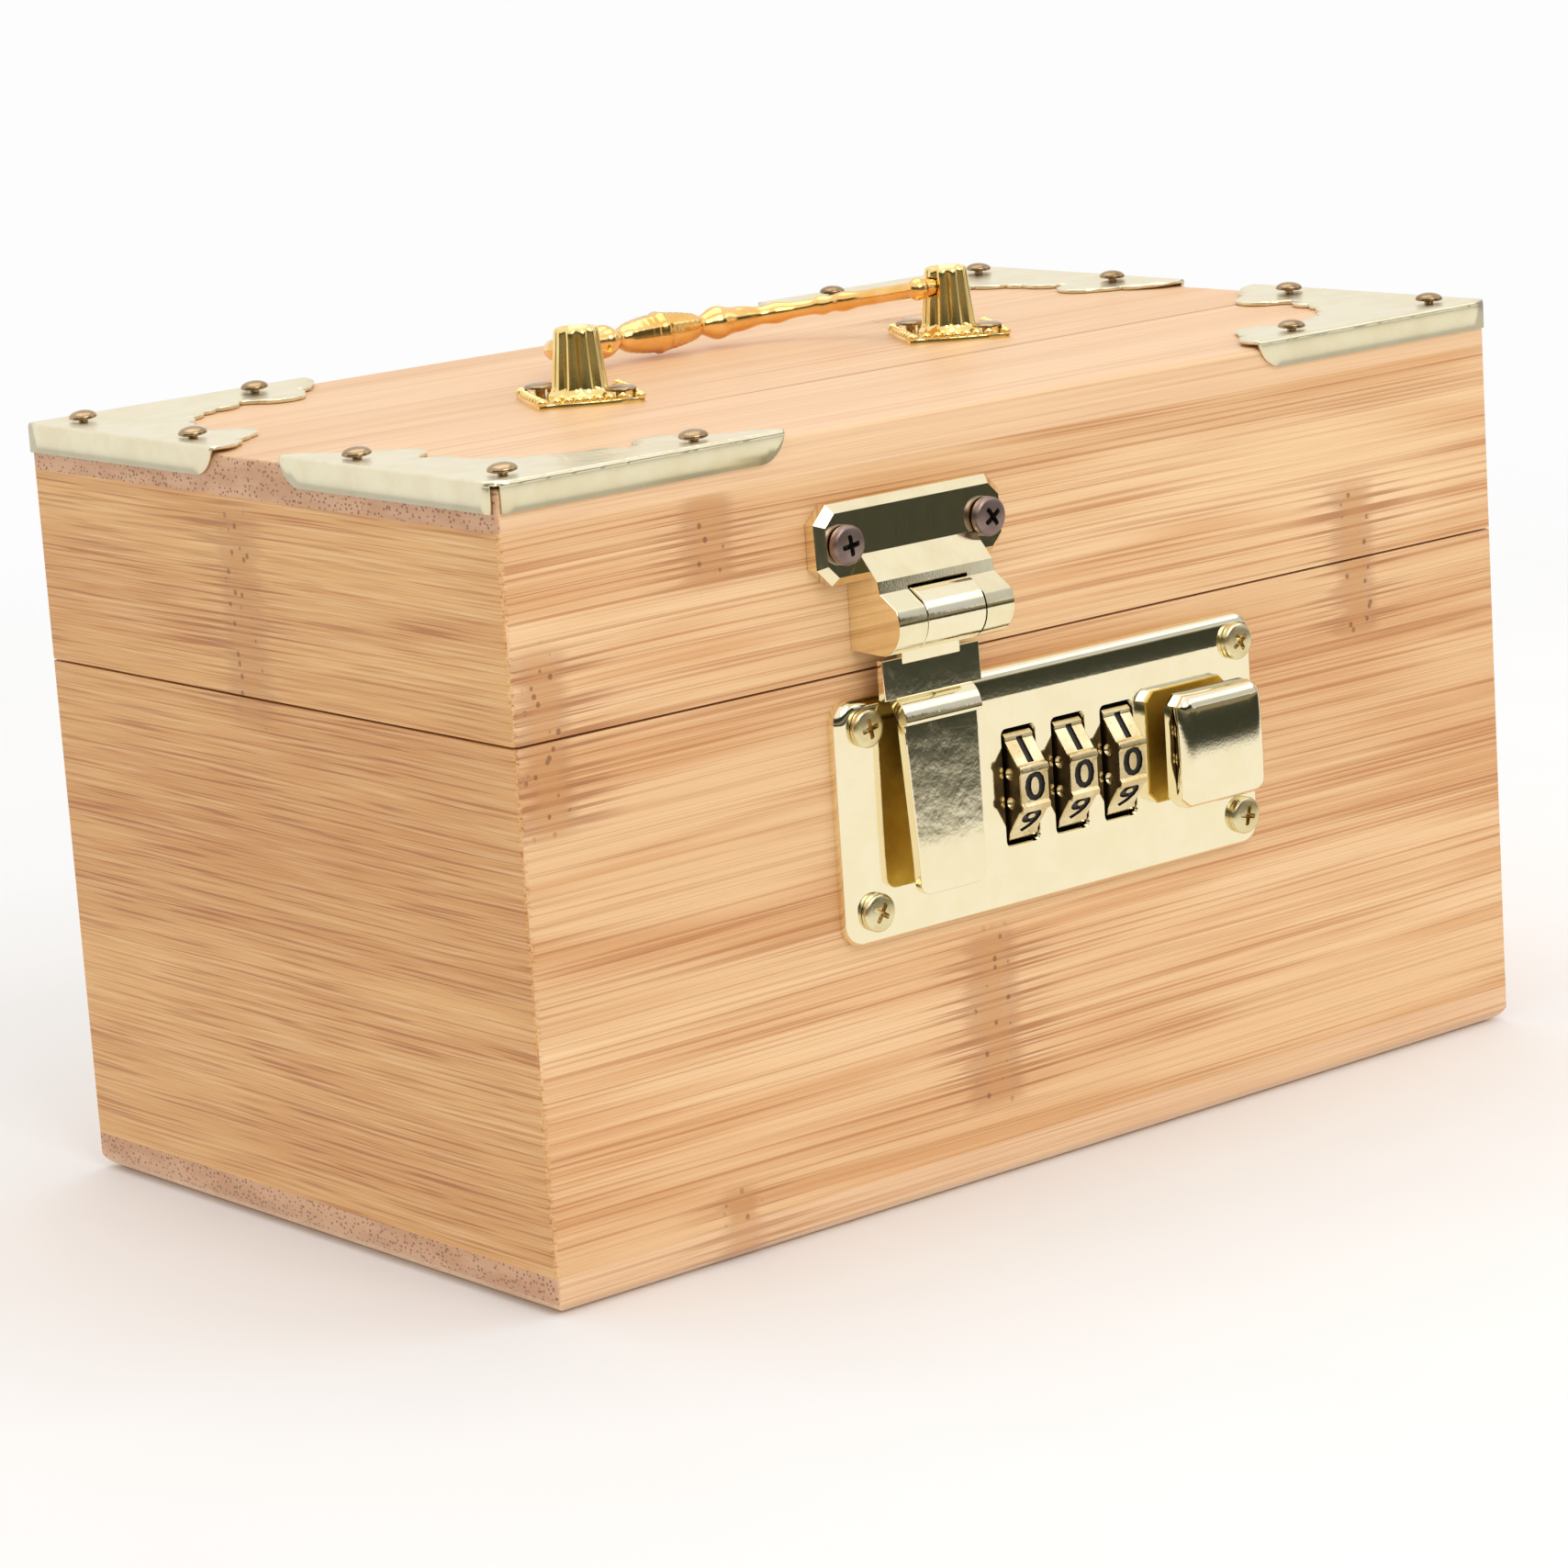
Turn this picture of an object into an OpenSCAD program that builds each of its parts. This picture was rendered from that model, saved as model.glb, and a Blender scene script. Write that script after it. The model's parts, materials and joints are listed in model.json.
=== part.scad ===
// Wooden money box: mitred bamboo box and lid, brass combination lock with a hasp,
// stamped corner brackets and a folding carrying handle.
// Millimetres. Origin at the centre of the underside, +X right, +Y back, +Z up.

/* [Box] */
// Outer length of the box along X
box_w = 168; // [150:1:190]
// Outer depth of the box along Y
box_d = 102; // [90:1:120]
// Height of the closed box without its fittings
box_h = 100.5; // [94:0.5:120]
// Thickness of the side walls
wall_t = 8; // [7:0.5:10]
// Thickness of the bottom board
bottom_t = 5; // [4:0.5:7]
// Thickness of the lid's top board
top_t = 5.1; // [4.8:0.1:6]
// Height of the cut between the box and its lid
seam_z = 69.8; // [69.8:0.1:72]
// Open gap of the cut between the box and its lid
seam_gap = 0.3; // [0.2:0.1:0.6]
// Radius of the rounded bottom edges
bottom_round = 3; // [1:0.5:3.5]
// Radius of the softened upper edges
edge_round = 0.8; // [0.4:0.1:1.2]

/* [Lock plate] */
// Width of the lock plate
plate_w = 72; // [70:1:76]
// Height of the lock plate
plate_h = 31.4; // [31:0.1:33]
// Thickness of the lock plate
plate_t = 2; // [1.6:0.1:2.4]
// Sideways place of the lock plate's centre
lock_x = -0.5; // [-3:0.5:3]
// Height of the lock plate's centre
lock_z = 51.3; // [50.5:0.1:52]
// Distance between the plate's screws along X
plate_screw_w = 64; // [63:0.5:66]
// Distance between the plate's screws along Z
plate_screw_h = 23.4; // [22:0.2:24]

/* [Number wheels] */
// Radius of a number wheel over its rims
wheel_r = 8.5; // [8.3:0.1:8.6]
// Width of a number wheel
wheel_w = 4.8; // [4.4:0.1:5]
// Distance between two wheels
wheel_pitch = 8.55; // [8.5:0.05:9]
// Depth of the wheels' axle behind the plate's front
axle_depth = 5.1; // [4.9:0.1:5.4]
// Radius of the wheels' axle
axle_r = 1.25; // [1.1:0.05:1.4]

/* [Release knob] */
// Side of the square knob
knob_s = 15; // [13:0.5:16]
// Thickness of the knob's head
knob_t = 4.2; // [3.5:0.1:5]
// Travel of the knob and its latch bar
knob_travel = 2.1; // [2.1:0.1:2.2]

/* [Hasp] */
// Sideways place of the hasp
hasp_x = -22.4; // [-23:0.1:-22]
// Height of the hasp's pivot
pivot_z = 76.5; // [76:0.1:77]
// Distance of the hasp's pivot from the front face
pivot_off = 5.5; // [5.4:0.1:6]
// Radius of the hasp's knuckles
knuckle_r = 4; // [3.6:0.1:4.2]
// Height of the flap's lower edge
flap_low_z = 41.5; // [40:0.5:44]

/* [Handle] */
// Distance between the two handle posts
post_gap = 64; // [60:1:72]
// Height of a handle post above the lid
post_h = 9.6; // [9:0.1:11]
// Height of the handle's pivot above the lid
bail_pivot_h = 7.1; // [7:0.1:7.6]
// Reach of the folded handle from its pivot
bail_reach = 24; // [22:0.5:28]
// Droop of the folded handle below level, in degrees
bail_droop = 9; // [7:0.5:9.5]

/* [Corner brackets] */
// Length of a bracket's leg along the box
bracket_leg = 43.5; // [38:0.5:48]
// Height of a bracket's folded flange
bracket_drop = 2.8; // [2:0.1:6]
// Sheet thickness of the brackets' flanges
sheet_t = 0.5; // [0.4:0.1:0.8]
// Height of the brackets' stamped top over the wood
bracket_top_t = 1; // [0.5:0.1:1.2]

/* [Back hinges] */
// Distance of each back hinge from the middle
hinge_x = 50; // [40:1:58]
// Length of a back hinge
hinge_len = 28; // [24:1:32]

/* [Hidden] */
$fn = 48;

eps = 0.01;
hole_gap = 0.04;
front_y = -box_d / 2;
back_y = box_d / 2;
lid_z = seam_z + seam_gap;
lid_under_z = box_h - top_t;

bamboo = [0.89, 0.71, 0.47];
bamboo_pale = [0.93, 0.78, 0.6];
brass_pale = [0.86, 0.8, 0.62];
brass_mirror = [0.93, 0.86, 0.66];
brass_rich = [0.88, 0.64, 0.25];
bronze_dark = [0.45, 0.38, 0.36];
steel_grey = [0.6, 0.6, 0.62];

// Lock layout
plate_face_y = front_y - plate_t;
axle_y = plate_face_y + axle_depth;
axle_z = lock_z;
case_w = 56;
case_h = 26.6;
case_back_y = -37.5;
case_wall = 0.8;
case_clear = 0.3;
wheel_mid_x = 1.6;
wheel_xs = [for (i = [-1:1]) wheel_mid_x + i * wheel_pitch];
window_w = wheel_w + 0.6;
window_half_h = 7.35;
window_back_half_h = 8.3;
window_lip = 0.6;

// Cams and the latch bar's fingers, measured from a wheel's middle
cam_t = 0.8;
cam_r = 2.85;
cam_sleeve_r = 1.88;
cam_off = wheel_pitch / 2;
cam_notch_w = 1.7;
finger_t = 0.8;
finger_off = cam_off + cam_t / 2 + 0.25 + finger_t / 2;
finger_tip_r = 1.78;
bar_low_z = 60.4;
bar_h = 3;
bar_y0 = -48.9;
bar_d = 2;
bar_x0 = -17.5;
bolt_r = 1.2;
bolt_z = bar_low_z + bar_h / 2;

// Release knob
knob_x = 24.4;
knob_gap = 1.6;
neck_w = 4;
neck_h = 4.6;
leg_w = 4;
leg_y0 = -49.9;
leg_d = 3;

// Hasp staple and its slot in the plate
staple_t = 1.4;
staple_tip_y = -45.2;
staple_low_z = 58.2;
staple_high_z = 65.6;
staple_eye_r = 1.8;
slot_w = 2.6;
slot_low_z = 54.5;

// Hasp
pivot_y = front_y - pivot_off;
bar_len = 30.5;
bar_tall = 10;
bar_thick = 3;
bar_mid_z = 86.6;
bar_chamfer = 1;
hasp_screw_gap = 23.2;
clevis_w = 19;
mid_knuckle_w = 9.5;
knuckle_gap = 0.15;
hasp_pin_r = 1.4;
flap_t = 1.3;
flap_back_y = -55.7;
block_back_y = -53.9;

// Handle
post_r_low = 3.9;
post_r_high = 2.85;
post_flutes = 10;
bail_half = 26.8;
bail_power = 3;
bail_pin_r = 1.2;
bail_pin_end = 31.2;
bail_pivot_z = box_h + bail_pivot_h;
foot_t = 1.5;

// Back hinges
hinge_axis_y = back_y + 2.6;
hinge_axis_z = seam_z + seam_gap / 2;
hinge_knuckle_r = 2.2;
hinge_pin_r = 1.1;
hinge_parts = 5;
leaf_t = 1;
leaf_h = 12;
leaf_start = 2.5;
hinge_screw_off = 9;

// ---------------------------------------------------------------- shared shapes

// Rectangle with round corners, centred
module round_rect(w, h, r) {
  square([w - 2 * r, h], center = true);
  square([w, h - 2 * r], center = true);
  for (x = [-1, 1], y = [-1, 1])
    translate([x * (w / 2 - r), y * (h / 2 - r)]) circle(r);
}

// Cross-section that stands on 0, with its two lower corners rounded
module tub_section(w, h, r) {
  translate([-w / 2 + r, 0]) square([w - 2 * r, h]);
  translate([-w / 2, r]) square([w, h - r]);
  for (x = [-1, 1]) translate([x * (w / 2 - r), r]) circle(r);
}

// Solid drawn in the XZ plane and extruded along Y, from y0 to y0 + d
module along_y(y0, d) {
  translate([0, y0 + d, 0]) rotate([90, 0, 0]) linear_extrude(d) children();
}

// Solid drawn in the YZ plane and extruded along X, from x0 to x0 + w
module along_x(x0, w) {
  translate([x0, 0, 0]) rotate([90, 0, 90]) linear_extrude(w) children();
}

// Board of the full plan, with its lower edges rounded
module board(t, r) {
  intersection() {
    along_y(front_y, box_d) tub_section(box_w, t, r);
    along_x(-box_w / 2, box_w) tub_section(box_d, t, r);
    linear_extrude(t) round_rect(box_w, box_d, edge_round);
  }
}

// Round rod along Y, from y0 backwards
module rod_y(x, z, r, y0, len) {
  translate([x, y0, z]) rotate([-90, 0, 0]) cylinder(r = r, h = len);
}

// Round rod along X, from x0 to the right
module rod_x(y, z, r, x0, len) {
  translate([x0, y, z]) rotate([0, 90, 0]) cylinder(r = r, h = len);
}

// Cross-head screw that points along -Z, with the underside of its head at 0
module cross_screw(head_r, head_h, shank_r, shank_len) {
  slot_l = head_r * 1.15;
  slot_t = head_r * 0.26;
  difference() {
    union() {
      cylinder(r = head_r, h = head_h * 0.55);
      translate([0, 0, head_h * 0.55]) cylinder(r1 = head_r, r2 = head_r * 0.82, h = head_h * 0.45);
    }
    for (a = [0, 90]) rotate(a)
      translate([-slot_l / 2, -slot_t / 2, head_h * 0.4]) cube([slot_l, slot_t, head_h]);
  }
  translate([0, 0, -shank_len]) cylinder(r = shank_r, h = shank_len);
}

// The same screw, pointing into the box's front face
module front_screw(x, z, y, head_r, head_h, shank_r, shank_len) {
  translate([x, y, z]) rotate([90, 0, 0]) cross_screw(head_r, head_h, shank_r, shank_len);
}

// ---------------------------------------------------------------- box and lid

lock_screw_x = lock_x + 0.3;
lock_screw_z = lock_z + 0.3;
plate_screw_pts = [for (sx = [-1, 1], sz = [-1, 1])
  [lock_screw_x + sx * plate_screw_w / 2, lock_screw_z + sz * plate_screw_h / 2]];
plate_shank_r = 1.1;
plate_shank_len = 8;

hasp_screw_xs = [for (s = [-1, 1]) hasp_x - 0.4 + s * hasp_screw_gap / 2];
hasp_shank_r = 1.2;
hasp_shank_len = 8.5;

hinge_screw_xs = [for (side = [-1, 1], s = [-1, 1]) side * hinge_x + s * hinge_screw_off];
hinge_screw_drop = 8.6;
hinge_shank_r = 0.9;
hinge_shank_len = 6.5;

// Plan of one mitred wall, for the wall at the front
module wall_plan(len, depth) {
  polygon([
    [-len / 2, -depth / 2],
    [len / 2, -depth / 2],
    [len / 2 - wall_t, -depth / 2 + wall_t],
    [-len / 2 + wall_t, -depth / 2 + wall_t]
  ]);
}

// One mitred wall between two heights; turn is 0 for front and back, 90 for the sides
module wall(z0, z1, turn, flip) {
  len = turn == 0 ? box_w : box_d;
  depth = turn == 0 ? box_d : box_w;
  translate([0, 0, z0])
    linear_extrude(z1 - z0)
      intersection() {
        rotate(turn + flip) wall_plan(len, depth);
        round_rect(box_w, box_d, edge_round);
      }
}

module lock_pocket() {
  translate([lock_x - case_w / 2 - case_clear, front_y - eps, lock_z - case_h / 2 - case_clear])
    cube([case_w + 2 * case_clear, wall_t + 1, case_h + 2 * case_clear]);
  translate([hasp_x - slot_w / 2, front_y - eps, lock_z])
    cube([slot_w, 6.5, box_h]);
}

module panel_front() {
  color(bamboo) difference() {
    wall(bottom_t, seam_z, 0, 0);
    lock_pocket();
    for (p = plate_screw_pts)
      rod_y(p[0], p[1], plate_shank_r + hole_gap, front_y - 1, wall_t);
  }
}

module panel_back() {
  color(bamboo) difference() {
    wall(bottom_t, seam_z, 0, 180);
    for (x = hinge_screw_xs)
      rod_y(x, hinge_axis_z - hinge_screw_drop, hinge_shank_r + hole_gap, back_y - 6, 8);
  }
}

module panel_left() {
  color(bamboo) wall(bottom_t, seam_z, 90, 180);
}

module panel_right() {
  color(bamboo) wall(bottom_t, seam_z, 90, 0);
}

module panel_bottom() {
  color(bamboo) board(bottom_t, bottom_round);
}

module lid_front() {
  color(bamboo) difference() {
    wall(lid_z, lid_under_z, 0, 0);
    for (x = hasp_screw_xs)
      rod_y(x, bar_mid_z, hasp_shank_r + hole_gap, front_y - 1, 7);
  }
}

module lid_back() {
  color(bamboo) difference() {
    wall(lid_z, lid_under_z, 0, 180);
    for (x = hinge_screw_xs)
      rod_y(x, hinge_axis_z + hinge_screw_drop, hinge_shank_r + hole_gap, back_y - 6, 8);
  }
}

module lid_left() {
  color(bamboo) wall(lid_z, lid_under_z, 90, 180);
}

module lid_right() {
  color(bamboo) wall(lid_z, lid_under_z, 90, 0);
}

module lid_top() {
  color(bamboo_pale) difference() {
    translate([0, 0, box_h]) mirror([0, 0, 1]) board(top_t, edge_round);
    for (p = tack_pts)
      translate([p[0], p[1], box_h - tack_len - 0.1])
        cylinder(r = tack_shank_r + hole_gap, h = tack_len + 1);
    for (p = foot_tack_pts)
      translate([p[0], p[1], box_h - tack_len - 0.1])
        cylinder(r = tack_shank_r + hole_gap, h = tack_len + 1);
  }
}

// ---------------------------------------------------------------- corner brackets

tack_spots = [[5.2, 5.2], [33, 4], [4, 33]];
tack_pts = [for (sx = [-1, 1], sy = [-1, 1], p = tack_spots)
  [sx * (box_w / 2 - p[0]), sy * (box_d / 2 - p[1])]];
tack_shank_r = 0.65;
tack_len = 4;
tack_head_r = 1.85;
tack_stand = 0.5;

// Scalloped leg of the bracket's top sheet, along X from the corner
module scalloped_leg() {
  translate([-sheet_t, -sheet_t]) square([bracket_leg - 8, 8.2]);
  translate([bracket_leg - 8.4, 0]) circle(8.4);
  translate([bracket_leg - 10, 9.2]) circle(3.8);
  translate([23.5, 5]) circle(6.2);
  translate([15.5, 7.5]) circle(6.8);
  translate([12, 12]) circle(4.6);
}

// Side of a folded flange, with its free lower corner rounded off
module flange_side() {
  drop = bracket_drop + bracket_top_t;
  translate([0.7, -bracket_drop]) square([bracket_leg - drop - 0.7, drop]);
  intersection() {
    translate([bracket_leg - drop, bracket_top_t]) circle(drop);
    translate([0.7, -bracket_drop]) square([bracket_leg, drop]);
  }
}

// Bracket with its corner at the origin and its legs along +X and +Y
module bracket() {
  difference() {
    linear_extrude(bracket_top_t)
      intersection() {
        union() {
          scalloped_leg();
          mirror([1, -1]) scalloped_leg();
        }
        translate([-sheet_t, -sheet_t]) square(bracket_leg + sheet_t);
      }
    for (p = tack_spots)
      translate([p[0], p[1], -1]) cylinder(r = tack_shank_r + hole_gap, h = 3);
    translate([-1, -1, -1]) cube([1.2, 1.2, 3]);
  }
  along_y(-sheet_t, sheet_t) flange_side();
  mirror([1, -1, 0]) along_y(-sheet_t, sheet_t) flange_side();
}

module corner_bracket(sx, sy) {
  color(brass_pale)
    translate([-sx * box_w / 2, -sy * box_d / 2, box_h])
      mirror([sx < 0 ? 1 : 0, 0, 0]) mirror([0, sy < 0 ? 1 : 0, 0]) bracket();
}

module bracket_front_left() { corner_bracket(1, 1); }
module bracket_front_right() { corner_bracket(-1, 1); }
module bracket_back_left() { corner_bracket(1, -1); }
module bracket_back_right() { corner_bracket(-1, -1); }

// Domed tack: shank, thin rim and cap of a sphere
module tack() {
  cap_h = 1.05;
  ball_r = (tack_head_r * tack_head_r + cap_h * cap_h) / (2 * cap_h);
  translate([0, 0, -tack_len]) cylinder(r = tack_shank_r, h = tack_len + bracket_top_t + tack_stand);
  translate([0, 0, bracket_top_t + tack_stand])
    intersection() {
      cylinder(r = tack_head_r + 1, h = cap_h + 1);
      translate([0, 0, cap_h - ball_r]) sphere(ball_r);
    }
}

module bracket_tacks() {
  color(brass_rich) for (p = tack_pts) translate([p[0], p[1], box_h]) tack();
}

// ---------------------------------------------------------------- lock

module lock_plate() {
  bevel = 0.9;
  color(brass_mirror) difference() {
    union() {
      along_y(front_y - plate_t + bevel, plate_t - bevel)
        translate([lock_x, lock_z]) round_rect(plate_w, plate_h, 3);
      along_y(front_y - plate_t, bevel)
        translate([lock_x, lock_z]) round_rect(plate_w - 1.4, plate_h - 1.4, 2.4);
    }
    for (x = wheel_xs) {
      translate([x - window_w / 2, plate_face_y - 1, axle_z - window_half_h])
        cube([window_w, plate_t + 2, 2 * window_half_h]);
      translate([x - window_w / 2, plate_face_y + window_lip, axle_z - window_back_half_h])
        cube([window_w, plate_t, 2 * window_back_half_h]);
    }
    translate([knob_x - neck_w / 2 - knob_travel - 0.4, plate_face_y - 1, lock_z - neck_h / 2 - 0.3])
      cube([neck_w + knob_travel + 0.8, plate_t + 2, neck_h + 0.6]);
    translate([hasp_x - slot_w / 2, plate_face_y - 1, slot_low_z])
      cube([slot_w, plate_t + 2, plate_h]);
    for (p = plate_screw_pts)
      rod_y(p[0], p[1], plate_shank_r + 0.1, plate_face_y - 1, plate_t + 2);
  }
}

module lock_plate_screws() {
  color(brass_mirror) for (p = plate_screw_pts)
    front_screw(p[0], p[1], plate_face_y, 2.45, 1.2, plate_shank_r, plate_shank_len);
}

case_post_pts = [for (sx = [-1, 1], sz = [-1, 1])
  [lock_x + sx * (case_w / 2 - 2.4), lock_z + sz * (case_h / 2 - 2.4)]];
case_post_r = 1.9;
case_post_y = -46.4;
case_screw_r = 0.8;

module lock_case() {
  color(steel_grey) difference() {
    union() {
      along_y(front_y, case_back_y - front_y)
        difference() {
          translate([lock_x, lock_z]) square([case_w, case_h], center = true);
          translate([lock_x, lock_z])
            square([case_w - 2 * case_wall, case_h - 2 * case_wall], center = true);
        }
      for (p = case_post_pts)
        rod_y(p[0], p[1], case_post_r, case_post_y, case_back_y - case_post_y);
      for (s = [-1, 1])
        translate([s > 0 ? 17.6 : -12.4, axle_y - 2.4, lock_z - case_h / 2])
          cube([1.2, 5.6, case_h / 2 + 2.4]);
    }
    rod_x(axle_y, axle_z, axle_r + 0.02, -13, 32);
    for (p = case_post_pts)
      rod_y(p[0], p[1], case_screw_r + hole_gap, case_back_y - 6, 8);
    translate([hasp_x - slot_w / 2, front_y - 1, lock_z + 4])
      cube([slot_w, 7, case_h]);
  }
}

module lock_case_cover() {
  color(steel_grey) along_y(case_back_y, case_wall)
    difference() {
      translate([lock_x, lock_z]) square([case_w, case_h], center = true);
      for (p = case_post_pts) translate(p) circle(case_screw_r + 0.1);
    }
}

module case_cover_screws() {
  color(steel_grey) for (p = case_post_pts)
    translate([p[0], case_back_y + case_wall, p[1]]) rotate([-90, 0, 0])
      cross_screw(1.7, 0.9, case_screw_r, 5.5);
}

module dial_axle() {
  color(steel_grey) rod_x(axle_y, axle_z, axle_r, -12.8, 31.8);
}

// Leaf springs under the wheels, with a nose that clicks between the digits
module detent_springs() {
  tip_z = axle_z - wheel_r - 0.15;
  root_y = case_back_y - 0.4;
  color(steel_grey) for (x = wheel_xs)
    along_x(x - 1.6, 3.2)
      polygon([
        [root_y, tip_z - 3.4],
        [axle_y + 1.6, tip_z - 1],
        [axle_y, tip_z],
        [axle_y - 1.6, tip_z - 1],
        [axle_y - 1.6, tip_z - 1.4],
        [axle_y, tip_z - 0.5],
        [axle_y + 1.6, tip_z - 1.4],
        [root_y, tip_z - 3.8]
      ]);
}

// Ten-sided number wheel with round rims
module dial_wheel(x) {
  rim = 0.6;
  color(brass_rich) difference() {
    union() {
      translate([x - wheel_w / 2, axle_y, axle_z]) rotate([0, 90, 0])
        rotate(18) cylinder(r = wheel_r - 0.05, h = wheel_w, $fn = 10);
      for (x0 = [x - wheel_w / 2, x + wheel_w / 2 - rim])
        rod_x(axle_y, axle_z, wheel_r - 0.3, x0, rim);
    }
    rod_x(axle_y, axle_z, cam_sleeve_r + 0.02, x - wheel_w, 2 * wheel_w);
  }
}

module dial_wheel_1() { dial_wheel(wheel_xs[0]); }
module dial_wheel_2() { dial_wheel(wheel_xs[1]); }
module dial_wheel_3() { dial_wheel(wheel_xs[2]); }

// Sleeve and notched disc that turn with a number wheel
module dial_cam(x) {
  disc_x = x + cam_off;
  hub_r = 1.6;
  color(brass_pale) difference() {
    union() {
      rod_x(axle_y, axle_z, cam_sleeve_r, x - wheel_w / 2, wheel_w);
      rod_x(axle_y, axle_z, hub_r, x, disc_x - x);
      rod_x(axle_y, axle_z, cam_r, disc_x - cam_t / 2, cam_t);
    }
    rod_x(axle_y, axle_z, axle_r + 0.05, x - wheel_w, 3 * wheel_w);
    translate([disc_x - cam_t, axle_y - cam_notch_w / 2, axle_z + hub_r])
      cube([2 * cam_t, cam_notch_w, cam_r]);
  }
}

module dial_cam_1() { dial_cam(wheel_xs[0]); }
module dial_cam_2() { dial_cam(wheel_xs[1]); }
module dial_cam_3() { dial_cam(wheel_xs[2]); }

module release_knob() {
  head_back = plate_face_y - knob_gap;
  cut = 1.6;
  color(brass_mirror) {
    along_y(head_back - knob_t + 1.2, knob_t - 1.2)
      translate([knob_x, lock_z]) polygon(clipped(knob_s, knob_s, cut));
    along_y(head_back - knob_t, 1.2)
      translate([knob_x, lock_z]) polygon(clipped(knob_s - 1.6, knob_s - 1.6, cut));
    translate([knob_x - neck_w / 2, head_back - eps, lock_z - neck_h / 2])
      cube([neck_w, leg_y0 - head_back + eps, neck_h]);
  }
}

// Corners of a w by h rectangle with its corners cut off
function clipped(w, h, c) = [
  [-w / 2 + c, -h / 2], [w / 2 - c, -h / 2], [w / 2, -h / 2 + c], [w / 2, h / 2 - c],
  [w / 2 - c, h / 2], [-w / 2 + c, h / 2], [-w / 2, h / 2 - c], [-w / 2, -h / 2 + c]
];

module latch_bar() {
  bar_x1 = knob_x + leg_w / 2;
  color(steel_grey) {
    translate([bar_x0, bar_y0, bar_low_z]) cube([bar_x1 - bar_x0, bar_d, bar_h]);
    translate([knob_x - leg_w / 2, leg_y0, lock_z - neck_h / 2])
      cube([leg_w, leg_d, bar_low_z + bar_h - lock_z + neck_h / 2]);
    for (x = wheel_xs)
      translate([x + finger_off - finger_t / 2, axle_y - 0.55, axle_z + finger_tip_r])
        cube([finger_t, 1.1, bar_low_z - axle_z - finger_tip_r + eps]);
    rod_x(axle_y, bolt_z, bolt_r, hasp_x + staple_t / 2 + 0.5, bar_x0 - hasp_x - staple_t / 2);
  }
}

// ---------------------------------------------------------------- hasp

// Chamfered bar with clipped corners and the clevis below it
module hasp_mount() {
  color(brass_mirror) difference() {
    union() {
      along_y(front_y - bar_thick + bar_chamfer, bar_thick - bar_chamfer)
        translate([hasp_x - 0.4, bar_mid_z]) polygon(clipped(bar_len, bar_tall, 2.2));
      along_y(front_y - bar_thick, bar_chamfer)
        translate([hasp_x - 0.4, bar_mid_z]) polygon(clipped(bar_len - 2, bar_tall - 2, 2));
      along_x(hasp_x - clevis_w / 2, clevis_w) {
        polygon([
          [front_y, pivot_z - knuckle_r + 0.3],
          [pivot_y, pivot_z - knuckle_r],
          [pivot_y, pivot_z],
          [pivot_y - 0.5, pivot_z + 3.7],
          [pivot_y - 0.3, pivot_z + 5.3],
          [front_y - bar_thick, bar_mid_z - 1.6],
          [front_y, bar_mid_z - 1.6]
        ]);
        translate([pivot_y, pivot_z]) circle(knuckle_r);
      }
    }
    along_x(hasp_x - mid_knuckle_w / 2 - knuckle_gap, mid_knuckle_w + 2 * knuckle_gap) {
      translate([pivot_y, pivot_z]) circle(knuckle_r + 0.4);
      translate([pivot_y - 8, pivot_z - 8]) square([8 + pivot_off - 0.9, 8]);
    }
    rod_x(pivot_y, pivot_z, hasp_pin_r + 0.02, hasp_x - clevis_w / 2 + 1, clevis_w);
    for (x = hasp_screw_xs)
      rod_y(x, bar_mid_z, hasp_shank_r + 0.1, front_y - 5, 8);
  }
}

module hasp_mount_screws() {
  color(bronze_dark) for (x = hasp_screw_xs)
    front_screw(x, bar_mid_z, front_y - bar_thick, 2.5, 1.4, hasp_shank_r, hasp_shank_len);
}

module hasp_pin() {
  color(steel_grey)
    rod_x(pivot_y, pivot_z, hasp_pin_r, hasp_x - clevis_w / 2 + 1.1, clevis_w - 1.2);
}

// Knuckle, web, wide block, stepped-out cover plate
module hasp_flap() {
  flap_front = flap_back_y - flap_t;
  block_front = block_back_y - flap_t;
  color(brass_mirror) difference() {
    union() {
      along_x(hasp_x - mid_knuckle_w / 2, mid_knuckle_w) {
        translate([pivot_y, pivot_z]) circle(knuckle_r);
        polygon([
          [pivot_y, pivot_z - 1], [pivot_y + 3, pivot_z - 1],
          [block_back_y, pivot_z - 4.5], [block_back_y, 71],
          [block_front, 71], [block_front, pivot_z - 3.6]
        ]);
      }
      along_x(hasp_x - 8, 16)
        polygon([[block_front, 66.5], [block_back_y, 66.5], [block_back_y, 71.5], [block_front, 71.5]]);
      along_x(hasp_x - 6.4, 12.8)
        polygon([
          [block_front, 67], [block_back_y, 67], [block_back_y, 65.8], [flap_back_y, 63.6],
          [flap_front, 63.6], [flap_front + 0.3, 64.8], [block_front - 0.4, 66]
        ]);
      along_y(flap_front, flap_t)
        translate([hasp_x, 0])
          union() {
            polygon([[-6.1, 64], [-5.4, flap_low_z + 1.5], [5.4, flap_low_z + 1.5], [6.1, 64]]);
            translate([-3.9, flap_low_z]) square([7.8, 2]);
            for (s = [-1, 1]) translate([s * 3.9, flap_low_z + 1.5]) circle(1.5);
          }
    }
    rod_x(pivot_y, pivot_z, hasp_pin_r + 0.05, hasp_x - mid_knuckle_w, 2 * mid_knuckle_w);
  }
}

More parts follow.
